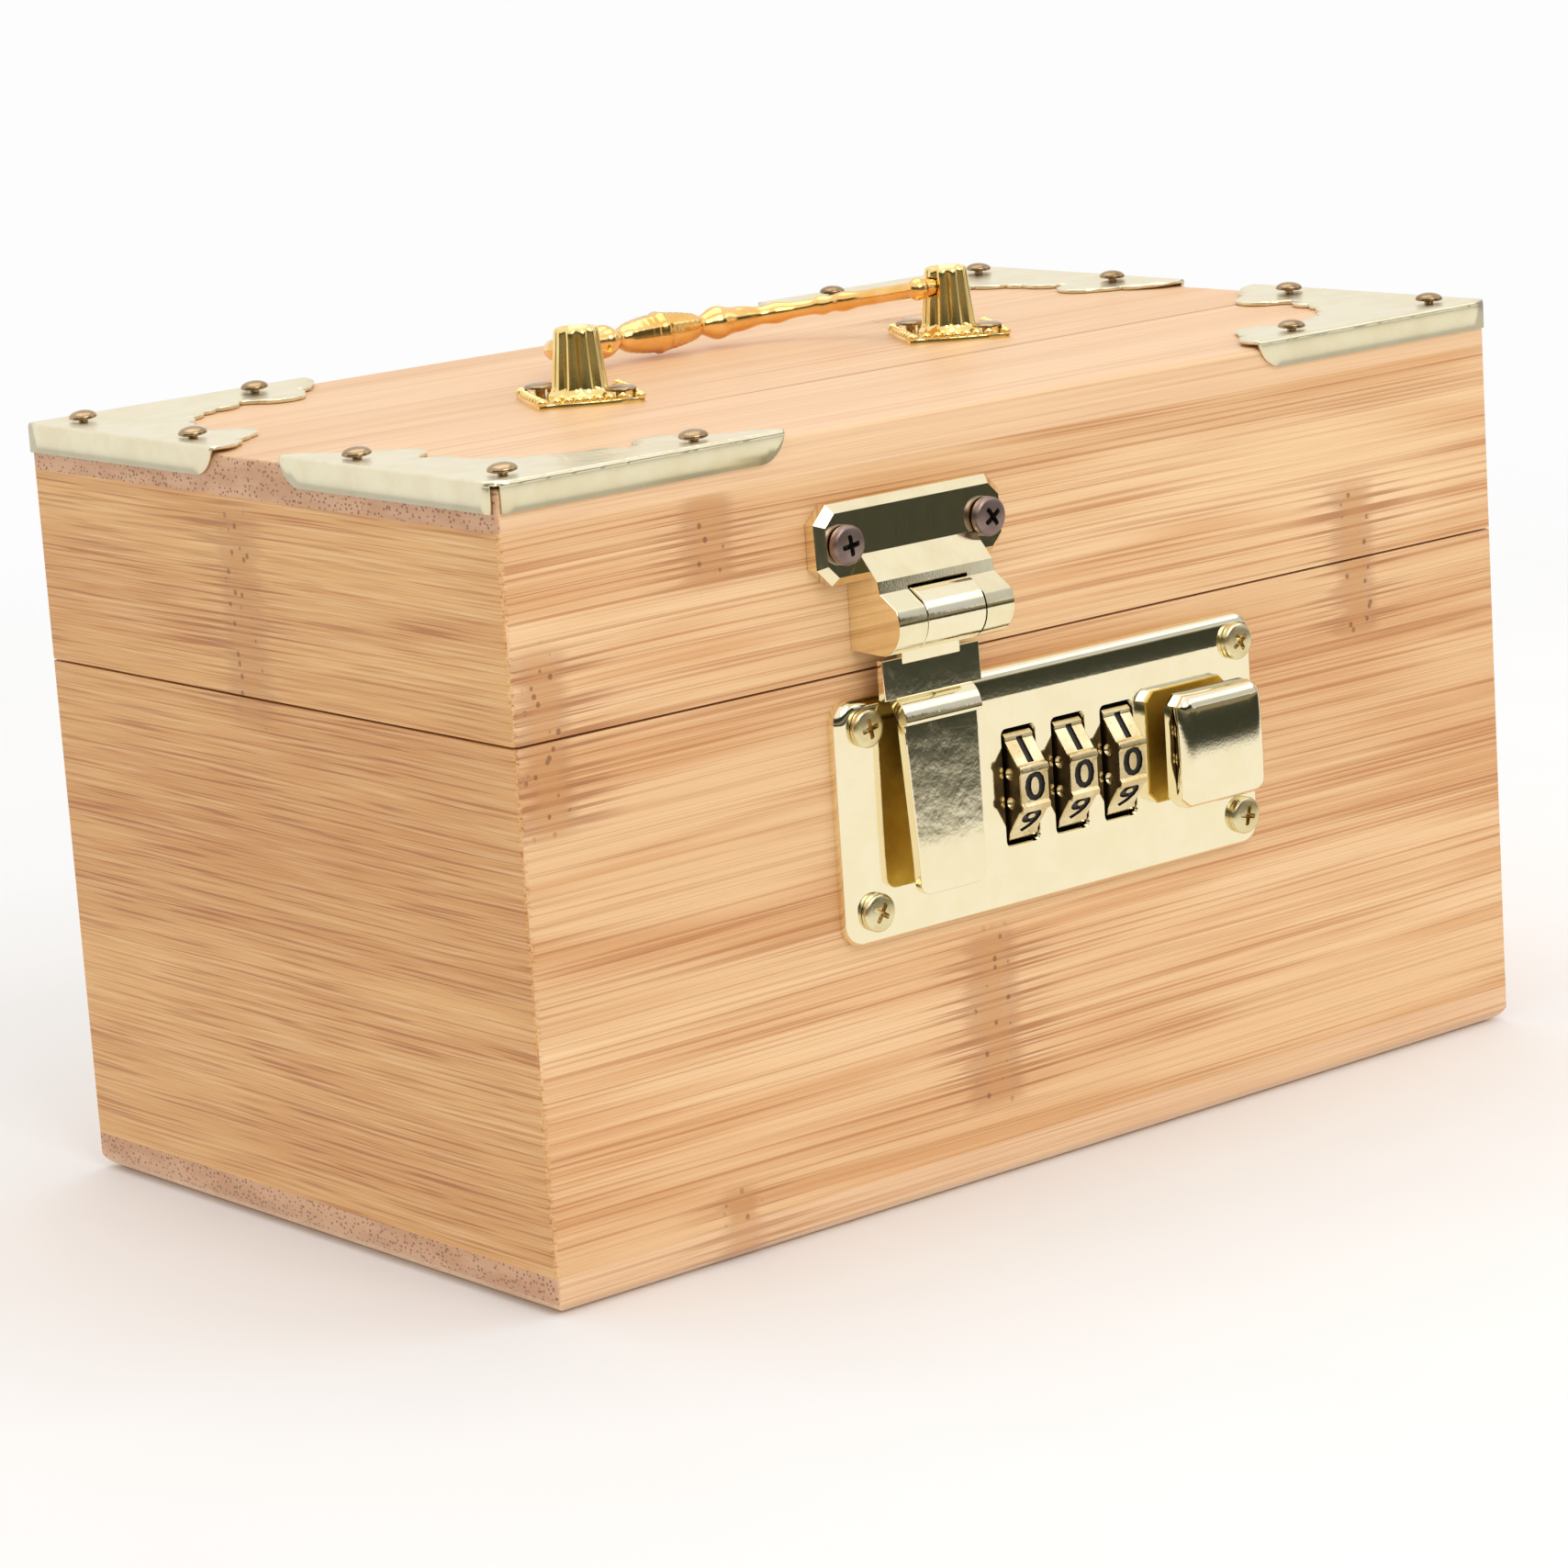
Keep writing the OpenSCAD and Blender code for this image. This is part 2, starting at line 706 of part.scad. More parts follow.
// Tongue with an eye, which the latch bar's bolt goes through
module hasp_staple() {
  color(steel_grey)
    along_x(hasp_x - staple_t / 2, staple_t)
      difference() {
        translate([flap_back_y, staple_low_z])
          square([staple_tip_y - flap_back_y, staple_high_z - staple_low_z]);
        translate([axle_y, bolt_z]) circle(staple_eye_r);
        polygon([
          [flap_back_y - 1, 62], [flap_back_y, 63.3], [block_back_y + 0.2, 65.5],
          [block_back_y + 0.2, 67], [flap_back_y - 1, 67]
        ]);
      }
}

// ---------------------------------------------------------------- handle

foot_turns = [17, 13];
foot_tack_off = 6.4;
foot_tack_r = 2.1;
foot_tack_h = 0.7;
foot_tack_pts = [for (i = [0, 1], s = [-1, 1])
  let (a = foot_turns[i] + 90)
  [(2 * i - 1) * post_gap / 2 + s * foot_tack_off * cos(a), s * foot_tack_off * sin(a)]];

// Ornamental foot: long lozenge with bowed sides and a lobe on each corner
module foot_plan(grow) {
  polygon([[8.2 + grow, 0], [0, 9.8 + grow], [-8.2 - grow, 0], [0, -9.8 - grow]]);
  circle(7.3 + grow);
  for (s = [-1, 1]) {
    translate([s * 7.6, 0]) circle(1.5 + grow);
    translate([0, s * 9.2]) circle(1.5 + grow);
  }
}

// Post at the origin; its pivot hole faces +X, and its foot is turned the given way
module handle_post(turn) {
  color(brass_rich) difference() {
    union() {
      rotate(turn) {
        linear_extrude(foot_t - 0.5) foot_plan(0);
        linear_extrude(foot_t) difference() {
          foot_plan(-0.3);
          foot_plan(-1.2);
        }
      }
      cylinder(r1 = post_r_low, r2 = post_r_high, h = post_h);
    }
    for (i = [0:post_flutes - 1])
      rotate(i * 360 / post_flutes + 9)
        translate([post_r_low + 0.12, 0, foot_t])
          rotate([0, -atan((post_r_low - post_r_high) / post_h), 0])
            cylinder(r = 0.5, h = post_h + 1);
    for (s = [-1, 1]) rotate(turn)
      translate([0, s * foot_tack_off, -1]) cylinder(r = tack_shank_r + hole_gap, h = 4);
    rod_x(0, bail_pivot_h, bail_pin_r + 0.08, -1, 6);
  }
}

module handle_post_left() {
  translate([-post_gap / 2, 0, box_h]) handle_post(foot_turns[0]);
}

module handle_post_right() {
  translate([post_gap / 2, 0, box_h]) mirror([1, 0, 0]) handle_post(-foot_turns[1]);
}

// Flat-domed tacks, two through each handle foot
module handle_foot_tacks() {
  color(brass_rich) for (p = foot_tack_pts)
    translate([p[0], p[1], box_h]) {
      translate([0, 0, -tack_len]) cylinder(r = tack_shank_r, h = tack_len + foot_t);
      translate([0, 0, foot_t]) cylinder(r1 = foot_tack_r, r2 = foot_tack_r - 0.4, h = foot_tack_h);
    }
}

// Centre line of the bail in its own plane, t from 0 to 180
function bail_polar(t) =
  pow(pow(abs(cos(t)) / bail_half, bail_power) + pow(sin(t) / bail_reach, bail_power), -1 / bail_power);
function bail_point(t) = bail_polar(t) * [-cos(t), sin(t)];

// Radius of the bail at a distance x from its middle
function bail_radius(x) = 1.25 + 1.2 * exp(-pow(x / 4.2, 2)) + 0.95 * exp(-pow((abs(x) - 9.8) / 2.2, 2));

bail_steps = 60;
bail_sides = 14;
bail_end_t = 1.8;
bail_ts = [for (i = [0:bail_steps]) bail_end_t + (180 - 2 * bail_end_t) * i / bail_steps];

// One ring of the swept bail, square to the centre line
function bail_ring(t) =
  let (p = bail_point(t), q = bail_point(t + 0.5) - bail_point(t - 0.5))
  let (n = [-q[1], q[0]] / norm(q), r = bail_radius(p[0]))
  [for (k = [0:bail_sides - 1])
    let (a = 360 * k / bail_sides)
    [p[0] + n[0] * r * cos(a), p[1] + n[1] * r * cos(a), r * sin(a)]];

module bail_sweep() {
  rings = [for (t = bail_ts) bail_ring(t)];
  points = [for (ring = rings, p = ring) p];
  n = bail_sides;
  last = bail_steps * n;
  sides = [for (i = [0:bail_steps - 1], k = [0:n - 1])
    [i * n + k, (i + 1) * n + k, (i + 1) * n + (k + 1) % n, i * n + (k + 1) % n]];
  cap_a = [for (k = [0:n - 1]) k];
  cap_b = [for (k = [n - 1:-1:0]) last + k];
  polyhedron(points = points, faces = concat([cap_a], sides, [cap_b]), convexity = 6);
}

module handle_bail() {
  color(brass_rich) translate([0, 0, bail_pivot_z]) rotate([-bail_droop, 0, 0]) {
    bail_sweep();
    for (s = [-1, 1]) {
      translate([s * bail_half, 0, 0]) sphere(1.55);
      rod_x(0, 0, bail_pin_r, s > 0 ? bail_half : -bail_pin_end, bail_pin_end - bail_half);
    }
  }
}

// ---------------------------------------------------------------- back hinges

// Leaf of a back hinge; up is 1 for the lid's leaf and -1 for the box's leaf
module hinge_leaf(x, up) {
  part = hinge_len / hinge_parts;
  first = up > 0 ? 1 : 0;
  bore = up > 0 ? hinge_pin_r + 0.05 : hinge_pin_r + 0.02;
  color(brass_pale) translate([x - hinge_len / 2, 0, hinge_axis_z]) difference() {
    union() {
      for (i = [first:2:hinge_parts - 1]) {
        rod_x(hinge_axis_y, 0, hinge_knuckle_r, i * part + 0.1, part - 0.2);
        along_x(i * part + 0.1, part - 0.2)
          translate([back_y, up > 0 ? 0 : -leaf_start - eps]) square([leaf_t, leaf_start + eps]);
      }
      translate([0, back_y, up > 0 ? leaf_start : -leaf_h]) cube([hinge_len, leaf_t, leaf_h - leaf_start]);
    }
    rod_x(hinge_axis_y, 0, bore, -1, hinge_len + 2);
    for (s = [-1, 1])
      rod_y(hinge_len / 2 + s * hinge_screw_off, up * hinge_screw_drop, hinge_shank_r + 0.1, back_y - 1, 4);
  }
}

module hinge_left_base_leaf() { hinge_leaf(-hinge_x, -1); }
module hinge_right_base_leaf() { hinge_leaf(hinge_x, -1); }
module hinge_left_lid_leaf() { hinge_leaf(-hinge_x, 1); }
module hinge_right_lid_leaf() { hinge_leaf(hinge_x, 1); }

module hinge_pin(x) {
  color(brass_pale)
    rod_x(hinge_axis_y, hinge_axis_z, hinge_pin_r, x - hinge_len / 2 - 0.4, hinge_len + 0.8);
}

module hinge_left_pin() { hinge_pin(-hinge_x); }
module hinge_right_pin() { hinge_pin(hinge_x); }

module hinge_screws(up) {
  color(brass_pale) for (x = hinge_screw_xs)
    translate([x, back_y + leaf_t, hinge_axis_z + up * hinge_screw_drop]) rotate([-90, 0, 0])
      cross_screw(2, 0.9, hinge_shank_r, hinge_shank_len);
}

module hinge_base_screws() { hinge_screws(-1); }
module hinge_lid_screws() { hinge_screws(1); }

// ---------------------------------------------------------------- nodes

panel_front();
panel_back();
panel_left();
panel_right();
panel_bottom();
lid_front();
lid_back();
lid_left();
lid_right();
lid_top();
bracket_front_left();
bracket_front_right();
bracket_back_left();
bracket_back_right();
bracket_tacks();
lock_plate();
lock_plate_screws();
lock_case();
lock_case_cover();
case_cover_screws();
dial_axle();
detent_springs();
dial_wheel_1();
dial_wheel_2();
dial_wheel_3();
dial_cam_1();
dial_cam_2();
dial_cam_3();
release_knob();
latch_bar();
hasp_mount();
hasp_mount_screws();
hasp_pin();
hasp_flap();
hasp_staple();
handle_post_left();
handle_post_right();
handle_foot_tacks();
handle_bail();
hinge_left_base_leaf();
hinge_right_base_leaf();
hinge_left_lid_leaf();
hinge_right_lid_leaf();
hinge_left_pin();
hinge_right_pin();
hinge_base_screws();
hinge_lid_screws();
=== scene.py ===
"""Bamboo money box with a brass combination lock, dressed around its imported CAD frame.

Lengths are millimetres while a piece is shaped and become metres when it is finished.
"""

import json
import logging
import math
from dataclasses import dataclass
from enum import Enum
from typing import Callable, Iterable, Optional, Sequence

import bmesh
import bpy
from mathutils import Matrix, Vector

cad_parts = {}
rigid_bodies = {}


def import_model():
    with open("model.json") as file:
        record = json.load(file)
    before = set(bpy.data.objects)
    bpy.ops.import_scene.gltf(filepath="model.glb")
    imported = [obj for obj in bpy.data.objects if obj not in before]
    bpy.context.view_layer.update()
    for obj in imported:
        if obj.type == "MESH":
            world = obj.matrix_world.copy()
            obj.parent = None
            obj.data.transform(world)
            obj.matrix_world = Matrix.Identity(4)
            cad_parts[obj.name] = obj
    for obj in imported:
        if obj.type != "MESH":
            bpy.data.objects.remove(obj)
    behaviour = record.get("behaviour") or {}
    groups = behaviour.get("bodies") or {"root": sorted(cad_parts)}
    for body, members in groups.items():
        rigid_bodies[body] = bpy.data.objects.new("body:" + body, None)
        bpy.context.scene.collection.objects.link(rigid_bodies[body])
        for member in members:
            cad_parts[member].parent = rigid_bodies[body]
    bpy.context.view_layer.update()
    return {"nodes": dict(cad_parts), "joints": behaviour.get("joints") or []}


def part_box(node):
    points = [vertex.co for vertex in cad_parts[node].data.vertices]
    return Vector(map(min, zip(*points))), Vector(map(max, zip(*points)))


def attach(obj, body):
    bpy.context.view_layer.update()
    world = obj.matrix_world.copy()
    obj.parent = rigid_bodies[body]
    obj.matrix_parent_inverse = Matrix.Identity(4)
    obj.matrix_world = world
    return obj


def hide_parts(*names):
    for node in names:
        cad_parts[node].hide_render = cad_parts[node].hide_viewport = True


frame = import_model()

LOG = logging.getLogger("money_box")
MM = 0.001
Z_AXIS = Vector((0, 0, 1))


# ---------------------------------------------------------------- shader tools


def tint(red: int, green: int, blue: int) -> tuple[float, float, float, float]:
    """Turns a display colour of 0 to 255 into the linear colour that a shader takes."""

    def linear(value: int) -> float:
        """Undoes the display curve for one channel."""
        share = value / 255
        return share / 12.92 if share <= 0.04045 else ((share + 0.055) / 1.055) ** 2.4

    return (linear(red), linear(green), linear(blue), 1.0)


class Wire:
    """A shader socket that takes part in Python arithmetic."""

    def __init__(self, bench: "Bench", socket: bpy.types.NodeSocket) -> None:
        """Wraps one output socket of a bench."""
        self.bench = bench
        self.socket = socket

    def _math(self, operation: str, first: object, second: object) -> "Wire":
        """Adds one Math node over two values."""
        return self.bench.node("ShaderNodeMath", {"operation": operation}, {0: first, 1: second})

    def __add__(self, other: object) -> "Wire":
        """Sum."""
        return self._math("ADD", self, other)

    __radd__ = __add__

    def __sub__(self, other: object) -> "Wire":
        """Difference."""
        return self._math("SUBTRACT", self, other)

    def __rsub__(self, other: object) -> "Wire":
        """Difference from a number."""
        return self._math("SUBTRACT", other, self)

    def __mul__(self, other: object) -> "Wire":
        """Product."""
        return self._math("MULTIPLY", self, other)

    __rmul__ = __mul__

    def __truediv__(self, other: object) -> "Wire":
        """Quotient."""
        return self._math("DIVIDE", self, other)

    def __abs__(self) -> "Wire":
        """Size without sign."""
        return self._math("ABSOLUTE", self, 0.0)

    def floor(self) -> "Wire":
        """Whole part."""
        return self._math("FLOOR", self, 0.0)

    def most(self, other: object) -> "Wire":
        """The larger of two values."""
        return self._math("MAXIMUM", self, other)


class Bench:
    """The node tree of one material, with the object's own coordinates in millimetres."""

    def __init__(self, name: str) -> None:
        """Starts an empty material."""
        self.material = bpy.data.materials.new(name)
        self.material.use_nodes = True
        self.tree = self.material.node_tree
        self.tree.nodes.clear()

    def node(
        self,
        kind: str,
        settings: Optional[dict] = None,
        inputs: Optional[dict] = None,
        out: object = 0,
    ) -> Optional[Wire]:
        """Adds a node.

        Args:
            kind: The node's type.
            settings: Properties set first; stops fills a colour ramp.
            inputs: Values or wires by socket name or number.
            out: The output socket to return.

        Returns:
            The chosen output as a wire.
        """
        made = self.tree.nodes.new(kind)
        for key, value in (settings or {}).items():
            if key == "stops":
                self._fill_ramp(made.color_ramp, value)
            else:
                setattr(made, key, value)
        for key, value in (inputs or {}).items():
            if isinstance(value, Wire):
                self.tree.links.new(value.socket, made.inputs[key])
            else:
                made.inputs[key].default_value = value
        return Wire(self, made.outputs[out]) if made.outputs else None

    @staticmethod
    def _fill_ramp(ramp: bpy.types.ColorRamp, stops: Sequence[tuple]) -> None:
        """Puts the given (place, colour) stops on a ramp."""
        while len(ramp.elements) < len(stops):
            ramp.elements.new(0.5)
        for element, (place, colour) in zip(ramp.elements, stops):
            element.position = place
            element.color = colour

    def place(self) -> Wire:
        """The point on the object in millimetres."""
        point = self.node("ShaderNodeTexCoord", out="Object")
        return self.node("ShaderNodeMapping", None, {"Vector": point, "Scale": (1000.0,) * 3})

    def split(self, vector: Wire) -> tuple[Wire, Wire, Wire]:
        """The three parts of a vector."""
        made = self.node("ShaderNodeSeparateXYZ", None, {0: vector})
        outputs = made.socket.node.outputs
        return tuple(Wire(self, outputs[i]) for i in range(3))

    def join(self, x: object, y: object, z: object) -> Wire:
        """A vector from three parts."""
        return self.node("ShaderNodeCombineXYZ", None, {0: x, 1: y, 2: z})

    def noise(self, vector: Wire, scale: float, detail: float = 3.0, rough: float = 0.55) -> Wire:
        """Cloudy noise from 0 to 1."""
        inputs = {"Vector": vector, "Scale": scale, "Detail": detail, "Roughness": rough}
        return self.node("ShaderNodeTexNoise", None, inputs, "Fac")

    def chance(self, value: Wire) -> Wire:
        """A fixed random number for each whole value."""
        return self.node("ShaderNodeTexWhiteNoise", {"noise_dimensions": "1D"}, {"W": value}, "Value")

    def rise(self, value: Wire, low: float, high: float) -> Wire:
        """0 below low and 1 above high, smooth between; swapped limits fall instead."""
        inputs = {"Value": value, "From Min": low, "From Max": high}
        return self.node("ShaderNodeMapRange", {"interpolation_type": "SMOOTHSTEP"}, inputs)

    def ramp(self, value: Wire, stops: Sequence[tuple]) -> Wire:
        """A colour for each value."""
        return self.node("ShaderNodeValToRGB", {"stops": stops}, {"Fac": value})

    def blend(self, share: object, first: object, second: object, mode: str = "MIX") -> Wire:
        """Mixes or otherwise combines two colours."""
        settings = {"data_type": "RGBA", "blend_type": mode}
        return self.node("ShaderNodeMix", settings, {0: share, 6: first, 7: second}, 2)

    def bump(self, height: Wire, depth: float, under: Optional[Wire] = None) -> Wire:
        """Turns a height pattern into a normal.

        Args:
            height: The pattern, from 0 to 1.
            depth: Millimetres between its lowest and highest place.
            under: A normal to add to.

        Returns:
            The bumped normal.
        """
        inputs = {"Height": height, "Strength": 1.0, "Distance": depth * MM}
        if under is not None:
            inputs["Normal"] = under
        return self.node("ShaderNodeBump", None, inputs)

    def finish(self, inputs: dict) -> bpy.types.Material:
        """Ends the tree in a Principled shader with the given inputs."""
        shader = self.node("ShaderNodeBsdfPrincipled", None, inputs)
        self.node("ShaderNodeOutputMaterial", None, {"Surface": shader})
        return self.material


# ---------------------------------------------------------------- finishes


class Grain(Enum):
    """Which way a board's fibres run."""

    FRONT_WALL = "along X, strips stacked up"
    SIDE_WALL = "along Y, strips stacked up"
    FLAT_BOARD = "along X, strips side by side"


@dataclass(frozen=True)
class Knot:
    """A bamboo joint: where it lies along the fibres, and between which heights or depths."""

    along: float
    low: float
    high: float
    wide: float = 4.2
    dark: float = 0.6


@dataclass(frozen=True)
class Bamboo:
    """Lacquered bamboo board made of glued strips."""

    name: str
    grain: Grain
    knots: tuple[Knot, ...] = ()
    strip: float = 19.0
    shift: float = 4.0
    slope: float = 0.0
    dash: float = 0.014
    contrast: float = 0.66
    base: tuple = tint(228, 175, 122)
    pale: tuple = tint(246, 206, 158)
    line: tuple = tint(192, 126, 74)
    knot: tuple = tint(170, 108, 64)
    ends: bool = False
    scratch: bool = False

    def make(self) -> bpy.types.Material:
        """Builds the material.

        Returns:
            The finished bamboo material.
        """
        b = Bench(self.name)
        x, y, z = b.split(b.place())
        along, across, deep = {
            Grain.FRONT_WALL: (x, z, y),
            Grain.SIDE_WALL: (y, z, x),
            Grain.FLAT_BOARD: (x, y, z),
        }[self.grain]
        sway = b.noise(b.join(along * 0.009, across * 0.03, self.shift), 1.0, 1.0)
        level = across + (sway - 0.5) * 2.4 + along * self.slope
        luck = b.chance(((level + self.shift) / self.strip).floor())
        slid = along + luck * 417.0
        fibres = b.noise(b.join(slid * self.dash, level * 2.5, deep * 2.5), 1.0, 1.0, 0.5)
        hair = b.noise(b.join(slid * self.dash * 1.6, level * 6.0, deep * 6.0), 1.0, 1.0, 0.5)
        cloud = b.noise(b.join(slid * 0.012, level * 0.13, self.shift), 1.0, 2.0)
        colour = b.blend(b.rise(cloud, 0.36, 0.62), self.base, self.pale)
        lines = b.rise(fibres, 0.47, 0.34) * (0.4 + 0.6 * b.rise(cloud, 0.7, 0.4))
        colour = b.blend(lines * self.contrast, colour, self.line)
        colour = b.blend(b.rise(fibres, 0.54, 0.68) * 0.35, colour, tint(252, 218, 170))
        colour = b.blend(b.rise(hair, 0.46, 0.3) * 0.5 * self.contrast, colour, self.line)
        colour = b.blend(b.rise(hair, 0.56, 0.7) * 0.3, colour, tint(254, 224, 180))
        warm = b.blend(luck, tint(255, 253, 250), tint(246, 238, 228))
        colour = b.blend(1.0, colour, warm, "MULTIPLY")
        colour = self._add_knots(b, colour, along, across, fibres)
        if self.scratch:
            colour = self._add_dark_streak(b, colour, along, across)
        if self.ends:
            colour = self._add_end_grain(b, colour, x, y, z)
        height = fibres * 0.6 + hair * 0.4
        rough = 0.36 + hair * 0.22
        return b.finish(
            {
                "Base Color": colour,
                "Roughness": rough,
                "Specular IOR Level": 0.45,
                "Coat Weight": 0.12,
                "Coat Roughness": 0.3,
                "Normal": b.bump(height, 0.09),
            }
        )

    def _add_knots(self, b: Bench, colour: Wire, along: Wire, across: Wire, fibres: Wire) -> Wire:
        """Lays the brown joints over a board: dark flanks, a lighter middle and small pits.

        Args:
            b: The bench.
            colour: The board's colour so far.
            along: Place along the fibres.
            across: Place across them.
            fibres: The long fibre pattern, which frays the edges.

        Returns:
            The colour with the joints.
        """
        jag = b.noise(b.join(7.0, across * 0.42, 2.0), 1.0, 3.0, 0.7)
        frayed = (jag - 0.5) * 5.0 + (fibres - 0.5) * 3.0
        point = b.join(along * 0.56, across * 0.5, 5.0)
        settings = {"feature": "F1"}
        cells = b.node("ShaderNodeTexVoronoi", settings, {"Vector": point, "Scale": 1.0}, "Distance")
        pits = b.rise(cells, 0.24, 0.15)
        for knot in self.knots:
            off = abs(along - knot.along + frayed)
            inside = b.rise(across + frayed * 0.3, knot.low - 1.0, knot.low + 2.4)
            inside = inside * b.rise(across + frayed * 0.3, knot.high + 1.0, knot.high - 2.4)
            tails = b.rise(off, knot.wide + 9.0, knot.wide) * b.rise(fibres, 0.52, 0.4)
            reach = jag * 2.0 * knot.wide
            flank = b.rise(off - reach, 1.0, -1.8)
            core = b.rise(off, 2.6, 1.2)
            mask = inside * tails.most(flank * 0.7) * knot.dark
            colour = b.blend(mask, colour, self.knot)
            colour = b.blend(inside * core * 0.3, colour, tint(214, 152, 84))
            spots = inside * b.rise(off, 3.4, 2.6) * pits
            colour = b.blend(spots * 0.65, colour, tint(118, 70, 42))
        return colour

    @staticmethod
    def _add_dark_streak(b: Bench, colour: Wire, along: Wire, across: Wire) -> Wire:
        """Draws one long dark vein along the lid's top, thinning out to its left end.

        Args:
            b: The bench.
            colour: The board's colour so far.
            along: Place along the fibres.
            across: Place across them.

        Returns:
            The colour with the vein.
        """
        bend = across - along * 0.01 + 16.4
        wide = b.rise(along, -46.0, 0.0)
        vein = b.rise(abs(bend) / (0.12 + wide * 0.55), 1.0, 0.3)
        return b.blend(vein * 0.75, colour, tint(176, 112, 66))

    @staticmethod
    def _add_end_grain(b: Bench, colour: Wire, x: Wire, y: Wire, z: Wire) -> Wire:
        """Shows cut fibre ends at the board's two short sides, as brown dots on tan.

        Args:
            b: The bench.
            colour: The board's colour so far.
            x: Place along the board.
            y: Place across it.
            z: Height.

        Returns:
            The colour with the end grain.
        """
        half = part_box("lid_top")[1].x / MM
        at_end = b.rise(abs(x), half - 0.55, half - 0.25)
        spot = {"Vector": b.join(1.0, y * 1.5, z * 1.9), "Scale": 1.0, "Randomness": 0.7}
        cells = b.node("ShaderNodeTexVoronoi", {"feature": "F1"}, spot, "Distance")
        drift = b.noise(b.join(0.0, y * 0.08, z * 0.3), 1.0)
        ground = b.blend(b.rise(drift, 0.4, 0.62), tint(222, 176, 138), tint(208, 158, 120))
        dots = b.blend(b.rise(cells, 0.42, 0.24) * 0.85, ground, tint(138, 88, 60))
        return b.blend(at_end, colour, dots)


@dataclass(frozen=True)
class Metal:
    """Plated or polished metal with fine pitting, brushing and smudges."""

    name: str
    colour: tuple
    deep: tuple
    rough: float
    smudge: float = 0.05
    pit: float = 0.0
    pit_scale: float = 3.0
    brush: float = 0.0
    brush_axis: int = 2
    tarnish: float = 0.0
    scroll: float = 0.0

    def make(self) -> bpy.types.Material:
        """Builds the material.

        Returns:
            The finished metal material.
        """
        b = Bench(self.name)
        place = b.place()
        x, y, z = b.split(place)
        cloud = b.noise(place, 0.22, 4.0, 0.6)
        grain = b.noise(place, self.pit_scale, 3.0, 0.6)
        squeeze = [1.0, 1.0, 1.0]
        squeeze[self.brush_axis] = 0.04
        brushed = b.noise(b.join(x * squeeze[0], y * squeeze[1], z * squeeze[2]), 5.0, 2.0, 0.5)
        colour = b.blend(b.rise(cloud, 0.35, 0.7), self.colour, self.deep)
        if self.tarnish:
            stain = b.rise(b.noise(place, 0.9, 5.0, 0.7), 0.58, 0.72)
            colour = b.blend(stain * self.tarnish, colour, tint(92, 70, 44))
        rough = self.rough + cloud * self.smudge + b.rise(grain, 0.6, 0.75) * self.smudge
        normal = b.bump(grain, self.pit)
        if self.brush:
            rough = rough + brushed * self.brush * 0.5
            normal = b.bump(brushed, self.brush * 0.02, normal)
        if self.scroll:
            on_top = b.rise(z, 100.85, 101.05)
            normal = b.bump(self._scrolls(b, x, y) * on_top, self.scroll, normal)
        return b.finish(
            {"Base Color": colour, "Metallic": 1.0, "Roughness": rough, "Normal": normal}
        )

    @staticmethod
    def _scrolls(b: Bench, x: Wire, y: Wire) -> Wire:
        """Draws soft stamped petals and leaves.

        Args:
            b: The bench.
            x: Place along the lid.
            y: Place across it.

        Returns:
            The relief, as a height from 0 to 1.
        """
        warp = b.noise(b.join(x * 0.12, y * 0.12, 0.0), 1.0, 1.0)
        cell = {"Vector": b.join(x * 0.2 + warp, y * 0.2, 0.0), "Scale": 1.0}
        petal = b.node("ShaderNodeTexVoronoi", {"feature": "SMOOTH_F1"}, cell, "Distance")
        edge = b.node("ShaderNodeTexVoronoi", {"feature": "DISTANCE_TO_EDGE"}, cell, "Distance")
        rings = b.node("ShaderNodeMath", {"operation": "SINE"}, {0: petal * 22.0})
        return b.rise(edge, 0.0, 0.12) * 0.6 + b.rise(rings, 0.2, 0.9) * 0.4


